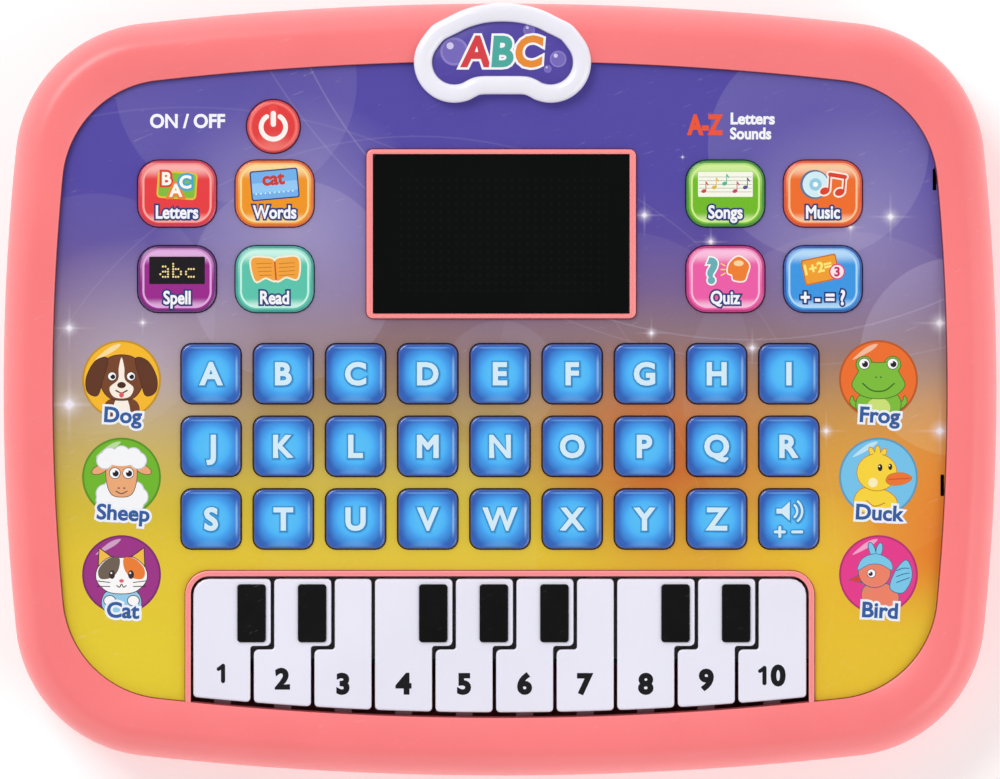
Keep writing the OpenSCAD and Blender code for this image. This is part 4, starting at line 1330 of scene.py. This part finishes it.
def quiz_picture(x, y):
    """Question mark beside a round speech shape with three short rays."""
    mark = lettering("?", 5.4, (x - 3.2, y - 0.2), 0.08)
    face = smooth([(x + 1.0, y + 1.6), (x + 3.2, y + 3.2), (x + 5.6, y + 1.4), (x + 5.2, y - 1.0),
                   (x + 4.4, y - 2.6), (x + 2.0, y - 2.4), (x + 1.6, y - 1.2), (x + 0.6, y - 0.6)], 6)
    face = anticlockwise(face)
    rays = []
    for k in (-1, 0, 1):
        rays.append(band([(x - 0.1, y + 0.1 + 0.9 * k), (x - 1.0, y + 0.1 + 1.4 * k)], 0.3))
    return [((250, 250, 250), fattened(mark, 0.35)), ((104, 176, 182), mark),
            ((255, 244, 236), fattened([face], 0.35)), ((242, 128, 48), [face]),
            ((255, 214, 160), [disc(x + 3.2, y + 1.6, 1.2, 0.7)]), ((250, 226, 90), rays)]


def maths_picture(x, y):
    """Orange card with a sum, and its answer on a round badge."""
    ball = (x + 3.4, y - 0.4)
    return [((206, 108, 30), [tile(8.6, 6.2, 0.5, (x - 0.6, y + 0.1), 12)]),
            ((244, 160, 48), [tile(8.0, 5.6, 0.4, (x - 0.6, y + 0.1), 12)]),
            ((255, 236, 120), lettering("1+2=", 2.3, (x - 1.2, y + 0.6), 0.06, turn=12)),
            ((222, 70, 110), [disc(*ball, 1.9)]), ((255, 232, 240), [disc(*ball, 1.6)]),
            ((206, 50, 96), lettering("3", 2.1, ball, 0.06))]


MODE_PICTURES = {
    "letters": letters_picture, "words": words_picture, "songs": songs_picture,
    "music": music_picture, "spelling": spelling_picture, "reading": reading_picture,
    "quiz": quiz_picture, "maths": maths_picture,
}


DOT_ROWS = {
    "a": ("....", ".##.", "...#", ".###", "#..#", ".###"),
    "b": ("#...", "#...", "###.", "#..#", "#..#", "###."),
    "c": ("....", "....", ".###", "#...", "#...", ".###"),
}


def dotted_word(word, centre, pitch):
    """Round dots of a lit display that spell a word."""
    dots, start = [], -(len(word) * 5 - 1) / 2
    for k, letter in enumerate(word):
        for row, line in enumerate(DOT_ROWS[letter]):
            for column, lit in enumerate(line):
                if lit == "#":
                    x = centre[0] + (start + 5 * k + column + 0.5) * pitch
                    y = centre[1] + (2.5 - row) * pitch
                    dots.append(disc(x, y, pitch * 0.4, steps=8))
    return dots


def mode_keys():
    """Eight rounded oblong caps, each in its own colour with a small picture over a white word."""
    for mode in MODES:
        node = "mode_key_" + mode
        at = MODE_AT[mode]
        # glow is the colour of the painted highlight bands
        fill, rim, line, glow = (rgb(*c) for c in MODE_COLOURS[mode])
        finish = mode_key_finish(node + "_finish", fill, rim, line, glow)

        def oblong(d, at=at):
            return rounded(MODE_W - 2 * d, MODE_H - 2 * d, MODE_CORNER - 0.9 * d, at, 8)

        push_cap("mode_cap_" + mode, node, oblong, finish, at)
        tall = 3.4 if mode == "maths" else 3.0
        word = lettering(MODE_WORDS[mode], tall, at + (0, -4.45), 0.045, 0.82)
        paints = MODE_PICTURES[mode](*(at + (0, 2.2)))
        paints += [(NAVY, fattened(word, 0.4)), (LABEL_WHITE, word)]
        artwork("mode_print_" + mode, paints, KEY_TOP_Z + PRINT_LIFT, node, INK)


# ---------------------------------------------------------------- piano

# Piano keys: spacing, gaps, steps beside the black pads, section, hinge, front tongue and numbers
PITCH = 14.59
PIANO_GAP = 0.82
STEP_W = 4.9
STEP_Y = -61.8
STEPPED = (1, 2, 4, 5, 6, 8, 9)
PIANO_EDGE_R = 0.5
PIANO_ROOF_Z = 24.8
PIANO_SKIRT_Z = 23.6
PIANO_WALL = 1.3
RIB_TOP_Z = 24.9
FRONT_INSET = 1.2
HINGE_Y, HINGE_Z, HINGE_R = -41.6, 22.2, 1.0
TONGUE_Z = (22.3, 23.2)
TONGUE_HALF_W = 2.05
PAD_SIZE = (6.9, 14.0)
PAD_TOP_Z = KEY_TOP_Z + 0.45
NUMBER_Y = {1: -68.4, 2: -69.7, 9: -69.9, 10: -68.9}
MIDDLE_NUMBER_Y = -70.9


def numeral(k, x, y):
    """Loops of a key's number, about 4.7 mm high; a one has a short flag."""
    def one(x):
        stem = band([(x, y - 1.85), (x, y + 1.85)], 1.0)
        return [stem, band([(x - 1.1, y + 1.05), (x, y + 1.85)], 0.9)]
    if k == 1:
        return one(x + 0.3)
    if k == 10:
        return one(x - 1.9) + lettering("0", 4.5, (x + 1.4, y), 0.08, 1.0)
    return lettering(str(k), 4.5, (x, y), 0.08, 1.03)


def piano_plan(k, left, right, stem, arm):
    """A key's outline: its front follows the face's lower edge, and a step on either side makes room
    for the black pads. stem and arm are the left and right sides behind the steps."""
    back, corner = PIANO[2:]
    ease = 1.0
    front_x = np.linspace(left, right, 7)
    front = np.c_[front_x, face_front_y(front_x, FRONT_INSET)]
    rows = [(*front[0], ease)] + [(*p, 0.0) for p in front[1:-1]] + [(*front[-1], ease)]
    if arm > right:
        rows += [(right, STEP_Y, 0.7), (arm, STEP_Y, 1.2)]
    rows += [(arm, back, corner if k == 10 else ease), (stem, back, corner if k == 1 else ease)]
    if stem > left:
        rows += [(stem, STEP_Y - PIANO_GAP, 0.7), (left, STEP_Y - PIANO_GAP, 1.2)]
    return filleted(rows)


def piano_keys():
    """White keys with rounded edges, each with a hollow underside, a neck with hinge pins, and a front
    tongue; a black pad lies on the keys that have a step."""
    left_end, right_end, back = PIANO[:3]
    step_of = {k: STEP_W if k in STEPPED else 0.0 for k in range(0, 11)}
    for k in range(1, 11):
        node = f"piano_key_{k}"
        left = left_end + (k - 1) * PITCH
        right = right_end if k == 10 else left + PITCH - PIANO_GAP
        stem, arm = left + step_of[k - 1], right + step_of[k]
        plan = piano_plan(k, left, right, stem, arm)
        skin = Skin()
        profile = [(PIANO_WALL, PIANO_ROOF_Z), (PIANO_WALL, PIANO_SKIRT_Z), (0.0, PIANO_SKIRT_Z)]
        profile += [*quarter_round(PIANO_EDGE_R, KEY_TOP_Z, 0.0, 6), (0.62, KEY_TOP_Z)]
        skin.body(lambda d, plan=plan: grown(plan, -d), profile)

        # Neck: a wall down from the back of the key, and a foot from there to the hinge pins
        neck = (stem + 2.4, arm - 2.4)
        neck_low = HINGE_Z - HINGE_R
        skin.block((neck[0], back - 2.6, neck_low), (neck[1], back - 0.6, RIB_TOP_Z))
        skin.block((neck[0], back - 2.6, neck_low), (neck[1], HINGE_Y, HINGE_Z + HINGE_R))
        half_gap = PIANO_GAP / 2
        pin_left = (left_end if k == 1 else left + step_of[k - 1]) - half_gap + 0.3
        pin_right = arm + half_gap - 0.3
        pin = [(HINGE_R - 0.15, pin_left), (HINGE_R, pin_left + 0.15),
               (HINGE_R, pin_right - 0.15), (HINGE_R - 0.15, pin_right)]
        skin.turn(pin, (0, HINGE_Y, HINGE_Z), "x", 20)

        # A rib that presses the dome, then the tongue under the case's edge and its post
        middle = (left + right) / 2
        front_y = float(face_front_y(middle, FRONT_INSET))
        tongue_x = (middle - TONGUE_HALF_W, middle + TONGUE_HALF_W)
        tongue_back = front_y + 1.8
        skin.block((middle - 1.5, -59.5, 22.6), (middle + 1.5, -56.5, RIB_TOP_Z))
        skin.block((tongue_x[0], front_y + 0.4, TONGUE_Z[0]), (tongue_x[1], tongue_back, RIB_TOP_Z))
        skin.block((tongue_x[0], front_y - 2.2, TONGUE_Z[0]), (tongue_x[1], tongue_back, TONGUE_Z[1]))
        skin.made(f"piano_white_{k}", WHITE, node, [node], 36)
        if step_of[k]:
            piano_pad(k, node, arm, back)
        digits = numeral(k, middle, NUMBER_Y.get(k, MIDDLE_NUMBER_Y))
        artwork(f"piano_number_{k}", [((18, 18, 22), digits)], KEY_TOP_Z + PRINT_LIFT, node,
                INK)


def piano_pad(k, node, arm, back):
    """Black pad near the back right corner of a key: a low block with rounded edges."""
    w, h = PAD_SIZE
    spot = (arm - 1.16 - w / 2, back - 1.3 - h / 2)
    pad = Skin()
    pad.body(lambda d: rounded(w - 2 * d, h - 2 * d, 0.8 - 0.6 * d, spot, 4),
             [(0.0, KEY_TOP_Z - 0.1), *quarter_round(0.22, PAD_TOP_Z, 0.0, 4), (0.3, PAD_TOP_Z)])
    pad.made(f"piano_pad_{k}", PAD_BLACK, node, (), 36)


# ---------------------------------------------------------------- badge, screen

def badge_outline():
    """Right half from the bridge round a lobe (circle of 9.75), over a full shoulder and up the arch
    (x = 21.4 cos(t) ^ 0.95, y = 76 + 17 sin(t)), then the same mirrored."""
    bridge = np.array([(0.0, 71.1), (2.4, 71.1), (4.4, 71.08), (5.6, 70.92), (6.7, 70.4), (7.8, 69.8)])
    lobe = turned((11.6, 78.8), 9.75, math.radians(-104), math.radians(38), 18)
    shoulder = np.array([(17.95, 86.55), (16.3, 88.05)])
    t = np.radians(np.linspace(55, 90, 8))
    arch = np.c_[21.4 * np.cos(t) ** 0.95, 76 + 17 * np.sin(t)]
    right = np.concatenate((bridge, lobe, shoulder, arch))
    left = right[1:-1][::-1] * (-1, 1)
    return smooth(np.concatenate((right, left)), 4) + (BADGE_X, 0.0)


def badge():
    """White bean: a rim with a half-elliptic section 4.4 wide round a sunken violet label."""
    outline = badge_outline()
    top, rim, bulge_z = 28.6, 4.4, 27.2
    low, floor_z = 25.4, 26.3
    ridge = [(rim / 2 * (1 - math.cos(a)), bulge_z + (top - bulge_z) * math.sin(a) ** 0.8)
             for a in np.linspace(0, math.pi, 17)]
    skin = Skin()
    skin.body(lambda d: grown(outline, -d), [(0.6, low), (0.0, low + 0.4), *ridge, (rim, floor_z)])
    skin.made("badge_rim", BADGE_WHITE, "housing", ["badge_frame"], 40)

    inner = grown(outline, -(rim + 0.06))
    skin = Skin()
    skin.body(lambda d: grown(inner, -d),
              [(0.0, floor_z), (0.0, BADGE_LABEL_Z - 0.05), (0.1, BADGE_LABEL_Z)])
    skin.made("badge_inlay", BADGE_VIOLET, "housing", ["badge_label"])

    paints = []
    for x, y, r in ((-11.6, 81.4, 3.4), (13.4, 79.6, 2.0), (10.9, 77.2, 0.9), (6.4, 86.6, 1.4)):
        x += BADGE_X
        paints.append(((142, 128, 200), [disc(x, y, r)]))
        paints.append(((120, 106, 188), [disc(x, y, r * 0.82)]))
        paints.append(((214, 206, 240), [disc(x - 0.3 * r, y + 0.4 * r, 0.25 * r)]))
    signs = (("A", (218, 64, 70), -6.2), ("B", (76, 172, 160), 0.2), ("C", (236, 142, 50), 6.4))
    for text, colour, x in signs:
        loops = lettering(text, 6.8, (BADGE_X + x, 81.4), 0.06, 0.95, 0.08)
        paints += [((250, 248, 252), fattened(loops, 0.55)), (colour, loops)]
    artwork("badge_letters", paints, BADGE_LABEL_Z + PRINT_LIFT, "housing", INK)


def screen():
    """Smoked window: a slab with eased edges that stands just over the film."""
    skin = Skin()
    w, h = SCREEN_GLASS
    top = FILM_TOP_Z + 0.4
    skin.body(lambda d: rounded(w - 2 * d, h - 2 * d, 0.5, SCREEN_AT, 4),
              [(0.0, SCREEN_FOOT_Z), *quarter_round(0.25, top, 0.0, 4), (0.4, top)])
    skin.made("window_pane", smoked_window(), "housing", ["screen_window"])


# ---------------------------------------------------------------- printed pictures on the film

ZONE_R = 9.5


def loops_at(at, loops):
    """Unit drawings brought to a zone: scaled by the zone's radius and moved there, anticlockwise."""
    return [anticlockwise(np.asarray(loop, float) * ZONE_R + at) for loop in loops]


def both(loops):
    """The loops and their mirror images."""
    return [*loops, *[np.asarray(loop) * (-1, 1) for loop in loops]]


def edged(loops, width):
    """The loops grown outwards by a thin outline, whichever way they run."""
    return [grown(anticlockwise(loop), width) for loop in loops]


def inked(line, fill, loops, width=0.02):
    """Paints of filled shapes with a thin outline."""
    return [(line, edged(loops, width)), (fill, loops)]


def eyes(x, y, r, white=(252, 252, 255), dark=(30, 26, 34)):
    """A pair of plain round eyes with a glint."""
    return [(dark, both([disc(x, y, r * 1.12)])), (white, both([disc(x, y, r)])),
            (dark, [disc(s * x + 0.02, y - 0.01, r * 0.6) for s in (-1, 1)]),
            (white, [disc(s * x - 0.02, y + 0.04, r * 0.2, steps=12) for s in (-1, 1)])]


# Each animal gives the roundel's colour and its paints, in a circle of radius one

def dog():
    """Brown dog with hanging ears, a cream blaze and a cream chest."""
    brown, dark, cream = (120, 68, 40), (72, 40, 28), (252, 240, 226)
    ear = smooth([(0.36, 0.52), (0.66, 0.46), (0.88, 0.06), (0.86, -0.30), (0.62, -0.40), (0.50, -0.06)])
    head = smooth([(0.0, 0.62), (0.36, 0.52), (0.52, 0.18), (0.5, -0.2), (0.3, -0.46), (0.0, -0.52),
                   (-0.3, -0.46), (-0.5, -0.2), (-0.52, 0.18), (-0.36, 0.52)])
    blaze = smooth([(0.0, 0.56), (0.07, 0.3), (0.09, 0.0), (0.3, -0.2), (0.22, -0.42), (0.0, -0.48),
                    (-0.22, -0.42), (-0.3, -0.2), (-0.09, 0.0), (-0.07, 0.3)])
    chest = smooth([(-0.3, -0.5), (0.3, -0.5), (0.46, -0.78), (0.2, -0.95), (-0.2, -0.95), (-0.46, -0.78)])
    bib = smooth([(-0.14, -0.5), (0.14, -0.5), (0.2, -0.95), (-0.2, -0.95)])
    return (248, 186, 44), [
        (brown, [chest]), (cream, [bib]),
        *inked(dark, brown, [head]), (cream, [blaze]),
        *inked(dark, (98, 54, 34), both([ear])), *eyes(0.24, 0.08, 0.1),
        (dark, [disc(0, -0.14, 0.11, 0.08)]),
        (dark, [stroke([(-0.14, -0.28), (0, -0.34), (0.14, -0.28)], 0.035)]),
        ((226, 92, 92), [disc(0, -0.39, 0.06, 0.07)]),
    ]


def sheep():
    """White sheep: puffs of wool over the head and round the body."""
    wool, shade = (248, 248, 250), (206, 206, 216)
    skin_tone, line = (238, 170, 120), (120, 84, 66)
    puffs = [disc(0.42 * math.cos(a), 0.42 + 0.16 * math.sin(a), 0.2)
             for a in np.radians((0, 45, 90, 135, 180))]
    cloud = [disc(0.44 * math.cos(a), -0.5 + 0.24 * math.sin(a), 0.22)
             for a in np.radians(range(0, 360, 40))]
    head = smooth([(0.0, 0.46), (0.34, 0.34), (0.38, -0.06), (0.26, -0.42), (0.0, -0.5), (-0.26, -0.42),
                   (-0.38, -0.06), (-0.34, 0.34)])
    ear = disc(0.54, 0.2, 0.22, 0.1, -24)
    return (112, 184, 44), [
        (shade, edged(cloud, 0.025)), (wool, [*cloud, disc(0, -0.5, 0.46, 0.26)]),
        *inked(line, skin_tone, both([ear])), *inked(line, skin_tone, [head]),
        (shade, edged(puffs, 0.025)), (wool, [*puffs, disc(0, 0.44, 0.4, 0.16)]),
        *eyes(0.17, 0.1, 0.13), (line, both([disc(0.07, -0.28, 0.03, 0.02)])),
        (line, [stroke([(-0.14, -0.36), (0, -0.42), (0.14, -0.36)], 0.03)]),
    ]


def cat():
    """White cat with one orange and one grey patch and a blue shirt."""
    white, orange, grey, line = (252, 250, 250), (238, 128, 52), (112, 96, 84), (58, 42, 46)
    head = smooth([(0.0, 0.42), (0.32, 0.42), (0.6, 0.16), (0.62, -0.16), (0.36, -0.42), (0.0, -0.48),
                   (-0.36, -0.42), (-0.62, -0.16), (-0.6, 0.16), (-0.32, 0.42)])
    ear = np.array([(0.2, 0.4), (0.58, 0.18), (0.56, 0.66)])
    patch = smooth([(0.06, 0.42), (0.34, 0.4), (0.58, 0.14), (0.54, -0.1), (0.26, -0.08), (0.08, 0.12)])
    body = smooth([(-0.34, -0.42), (0.34, -0.42), (0.5, -0.75), (0.3, -0.96), (-0.3, -0.96), (-0.5, -0.75)])
    paw = disc(0.3, -0.66, 0.14, 0.12)
    whisker = [band([(0.3, -0.2 - 0.1 * k), (0.62, -0.16 - 0.14 * k)], 0.022) for k in (0, 1)]
    mouth = [(-0.12, -0.28), (-0.05, -0.32), (0, -0.24), (0.05, -0.32), (0.12, -0.28)]
    return (158, 52, 136), [
        *inked(line, (150, 206, 236), [body]), *inked(line, white, both([paw])),
        *inked(line, (246, 190, 70), both([ear]), 0.025),
        *inked(line, white, [head]), (orange, [patch]), (grey, [patch * (-1, 1)]),
        (line, [disc(s * 0.24, 0.0, 0.075, 0.11) for s in (-1, 1)]),
        (white, [disc(s * 0.24 - 0.02, 0.04, 0.025, steps=10) for s in (-1, 1)]),
        ((228, 96, 110), [disc(0, -0.16, 0.06, 0.045)]), (line, both(whisker)),
        (line, [stroke(mouth, 0.026)]),
    ]


def frog():
    """Green frog with eyes on top of its head and a wide mouth."""
    green, line, pale = (126, 190, 58), (54, 110, 40), (206, 226, 120)
    head = smooth([(0.0, 0.42), (0.34, 0.4), (0.56, 0.1), (0.66, -0.16), (0.42, -0.4), (0.0, -0.48),
                   (-0.42, -0.4), (-0.66, -0.16), (-0.56, 0.1), (-0.34, 0.4)])
    body = smooth([(-0.4, -0.36), (0.4, -0.36), (0.56, -0.7), (0.3, -0.96), (-0.3, -0.96), (-0.56, -0.7)])
    leg = smooth([(0.40, -0.5), (0.60, -0.56), (0.66, -0.42), (0.72, -0.58), (0.56, -0.74), (0.36, -0.8)])
    mouth = [(-0.4, -0.1), (-0.2, -0.26), (0, -0.3), (0.2, -0.26), (0.4, -0.1)]
    return (240, 112, 44), [
        *inked(line, green, both([leg])), *inked(line, green, [body]),
        (pale, [disc(0, -0.72, 0.3, 0.26)]),
        (line, both([disc(0.36, 0.38, 0.22)])), (green, both([disc(0.36, 0.38, 0.2)])),
        (line, edged([head], 0.02)), (green, [head, *both([disc(0.36, 0.36, 0.19)])]),
        *eyes(0.36, 0.4, 0.13), (line, [stroke(mouth, 0.035, 6)]),
        (line, both([disc(0.06, 0.06, 0.022, steps=10)])),
    ]


def duck():
    """Yellow duckling with a tuft, looking to the right."""
    yellow, line, bill = (250, 214, 60), (196, 130, 36), (240, 118, 52)
    head = disc(-0.04, 0.12, 0.5, 0.46)
    body = smooth([(-0.42, -0.3), (0.16, -0.34), (0.46, -0.6), (0.3, -0.9), (-0.3, -0.92), (-0.62, -0.66)])
    tuft = [disc(-0.16, 0.62, 0.06, 0.14, 24), disc(-0.02, 0.64, 0.06, 0.15, 0),
            disc(0.12, 0.6, 0.06, 0.13, -28)]
    beak = smooth([(0.3, 0.06), (0.62, 0.1), (0.84, -0.02), (0.66, -0.16), (0.36, -0.2), (0.2, -0.1)])
    return (118, 196, 236), [
        *inked(line, yellow, [body]), *inked(line, yellow, tuft),
        (line, edged([head], 0.02)), (yellow, [head, disc(-0.02, 0.55, 0.12, 0.08)]),
        *inked(line, bill, [beak]), ((214, 84, 36), [band([(0.26, -0.06), (0.78, -0.03)], 0.03)]),
        ((255, 240, 190), [disc(-0.14, -0.14, 0.12)]),
        ((40, 30, 30), [disc(0.04, 0.24, 0.06, 0.09), disc(0.3, 0.26, 0.05, 0.08)]),
        (WHITE_INK, [disc(0.02, 0.27, 0.02, steps=10), disc(0.28, 0.29, 0.02, steps=10)]),
        (line, [stroke([(-0.3, -0.6), (-0.1, -0.74), (0.16, -0.66)], 0.025)]),
    ]


def bird():
    """Coral bird with a blue cap, crest and wing, looking to the left."""
    coral, blue, line = (240, 132, 104), (124, 202, 236), (52, 96, 140)
    dark, white = (40, 30, 36), (252, 252, 255)
    head = disc(-0.1, 0.06, 0.4, 0.38)
    body = smooth([(-0.34, -0.3), (0.2, -0.24), (0.5, -0.5), (0.4, -0.9), (-0.1, -0.97), (-0.4, -0.7)])
    cap = smooth([(-0.52, 0.12), (-0.4, 0.4), (-0.06, 0.52), (0.28, 0.36), (0.34, 0.12), (0.06, 0.26),
                  (-0.24, 0.26)])
    crest = [disc(-0.16, 0.62, 0.07, 0.2, 18), disc(0.02, 0.62, 0.07, 0.18, -12)]
    wing = smooth([(0.3, -0.34), (0.44, 0.1), (0.7, 0.36), (0.84, 0.1), (0.8, -0.2), (0.6, -0.46)])
    beak = np.array([(-0.5, -0.02), (-0.76, -0.14), (-0.44, -0.2)])
    feathers = []
    for k in (0, 1, 2):
        rise = 0.15 * k
        quill = [(0.46, -0.2 + rise), (0.62, -0.14 + rise), (0.78, -0.08 + 0.12 * k)]
        feathers.append(stroke(quill, 0.022))
    return (232, 60, 142), [
        *inked(line, coral, [body]), *inked(line, blue, [wing]), (line, feathers),
        *inked(line, blue, crest), *inked(line, (224, 62, 52), [beak]),
        *inked(line, coral, [head]), *inked(line, blue, [cap], 0.015),
        (dark, [disc(-0.18, 0.03, 0.115)]), (white, [disc(-0.18, 0.03, 0.1)]),
        (dark, [disc(-0.2, 0.02, 0.055)]), (white, [disc(-0.22, 0.05, 0.02, steps=10)]),
    ]


# Touch zones: name, drawing, side of the face and row
ZONES = [
    ("dog", dog, -1, 0), ("sheep", sheep, -1, 1), ("cat", cat, -1, 2),
    ("frog", frog, 1, 0), ("duck", duck, 1, 1), ("bird", bird, 1, 2),
]


def touch_pictures():
    """A coloured roundel with a simple animal in each touch zone, and its plain name under it."""
    for name, draw, side, row in ZONES:
        at = np.array((side * TOUCH_X, TOUCH_Y[row] + 0.4))
        ground, drawing = draw()
        deep = tuple(int(c * 0.8) for c in ground)
        light = tuple(int(c * 0.45 + 140) for c in ground)
        gleam = smooth([(-0.66, 0.5), (-0.3, 0.82), (-0.02, 0.9), (-0.2, 0.72)])
        roundel = [(deep, [disc(0, 0, 1.0, steps=64)]), (ground, [disc(0, 0, 0.95, steps=64)]),
                   (light, [gleam])]
        paints = [(colour, loops_at(at, loops)) for colour, loops in roundel + drawing]
        word = lettering(name.capitalize(), 3.5, at + (0.4, -8.6), 0.045, 1.04, turn=-3)
        paints += [((240, 244, 252), fattened(word, 0.55)), ((50, 92, 160), word)]
        artwork("zone_" + name, paints, FILM_TOP_Z + PRINT_LIFT, "housing", INK)


def face_words():
    """Plain function words on the film."""
    paints = [(LABEL_WHITE, lettering("ON / OFF", 3.1, (-75.3, 64.7), 0.05, 0.95))]
    paints += [((238, 86, 50), lettering("A-Z", 4.4, (49.4, 63.8), 0.075, 0.76))]
    paints += [(LABEL_WHITE, lettering("Letters", 2.6, (60.9, 65.3), 0.055, 0.98))]
    paints += [(LABEL_WHITE, lettering("Sounds", 2.6, (60.4, 61.7), 0.055, 0.90))]
    artwork("face_words", paints, FILM_TOP_Z + PRINT_LIFT, "housing", INK)


# ---------------------------------------------------------------- the object

front_shell()
raised_lips()
face_film()
rear_shell()
letter_keys()
power_button()
mode_keys()
piano_keys()
badge()
screen()
touch_pictures()
face_words()

# Finishes of the solids that come from the frame and stay as they are
CARRIED = {
    "circuit_board": board_finish(), "key_dome_sheet": RUBBER, "speaker": speaker_finish(),
    "batteries": cell_finish(), "battery_contacts": SPRING, "case_screws": STEEL,
    "battery_door": REAR_PINK, "door_screw": STEEL,
}
for node, finish in CARRIED.items():
    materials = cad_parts[node].data.materials
    for k in range(max(1, len(materials))):
        if k < len(materials):
            materials[k] = finish.material
        else:
            materials.append(finish.material)


# ---------------------------------------------------------------- studio

def floor():
    """Wide pale sweep under the object: z = a low rise far away, flat near it."""
    count = 25
    x, y = np.meshgrid(np.linspace(-3, 3, count), np.linspace(-3, 3, count))
    z = 0.02 * np.maximum(np.hypot(x, y) - 1.5, 0.0) ** 2 - 0.0002
    mesh = bpy.data.meshes.new("floor")
    index = np.arange(count * count).reshape(count, count)
    quads = np.stack((index[:-1, :-1], index[:-1, 1:], index[1:, 1:], index[1:, :-1]), -1)
    points = np.stack((x, y, z), -1).reshape(-1, 3)
    mesh.from_pydata(points.tolist(), [], quads.reshape(-1, 4).tolist())
    mesh.shade_smooth()
    finish = Finish("paper_white", Roughness=0.9, Specular_IOR_Level=0.1, Emission_Strength=0.2)
    finish.shader.inputs["Emission Color"].default_value = (1.0, 1.0, 1.0, 1.0)
    tone = finish.noise(0.004, 3.0)
    finish.set("Base Color", finish.mix(tone, (0.93, 0.93, 0.93, 1.0), (0.96, 0.96, 0.96, 1.0)))
    mesh.materials.append(finish.material)
    obj = bpy.data.objects.new("floor", mesh)
    bpy.context.scene.collection.objects.link(obj)


def softbox(name, place, size, power, aim=(0.0, 0.0, 0.0)):
    """Square area light that looks at aim."""
    light = bpy.data.lights.new(name, "AREA")
    light.shape, light.size, light.energy = "SQUARE", size, power
    obj = bpy.data.objects.new(name, light)
    bpy.context.scene.collection.objects.link(obj)
    way = np.array(aim) - np.array(place)
    obj.location = place
    obj.rotation_euler = (math.acos(-way[2] / np.linalg.norm(way)), 0.0, math.atan2(-way[0], way[1]))
    return obj


def studio_sky():
    """White surround, brightest at the horizon and dim overhead, so flat tops don't mirror it."""
    world = bpy.data.worlds.new("studio")
    world.use_nodes = True
    nodes, links = world.node_tree.nodes, world.node_tree.links
    split = nodes.new("ShaderNodeSeparateXYZ")
    links.new(nodes.new("ShaderNodeTexCoord").outputs["Generated"], split.inputs[0])
    fade = nodes.new("ShaderNodeMapRange")
    fade.interpolation_type = "SMOOTHSTEP"
    for k, value in enumerate((0.35, 0.9, 1.1, 0.16)):
        fade.inputs[k + 1].default_value = value
    links.new(split.outputs["Z"], fade.inputs[0])
    links.new(fade.outputs[0], nodes["Background"].inputs["Strength"])
    nodes["Background"].inputs["Color"].default_value = (1.0, 1.0, 1.0, 1.0)
    bpy.context.scene.world = world


floor()
softbox("key_light", (-0.9, 1.1, 1.5), 1.0, 20.0)
softbox("fill_light", (1.3, -0.7, 1.4), 1.3, 10.0)
studio_sky()
bpy.context.scene.view_settings.view_transform = "Standard"

# The camera hangs over the face, far enough away for the frame to be VIEW_W wide at its middle height
VIEW_W = 0.2419
MIDDLE_Z = 0.015
camera = bpy.data.cameras.new("camera")
camera.lens, camera.sensor_width = 400.0, 36.0
camera.clip_end = 30.0
camera_object = bpy.data.objects.new("camera", camera)
camera_object.location = (0.0, 0.0, VIEW_W * camera.lens / camera.sensor_width + MIDDLE_Z)
bpy.context.scene.collection.objects.link(camera_object)
bpy.context.scene.camera = camera_object
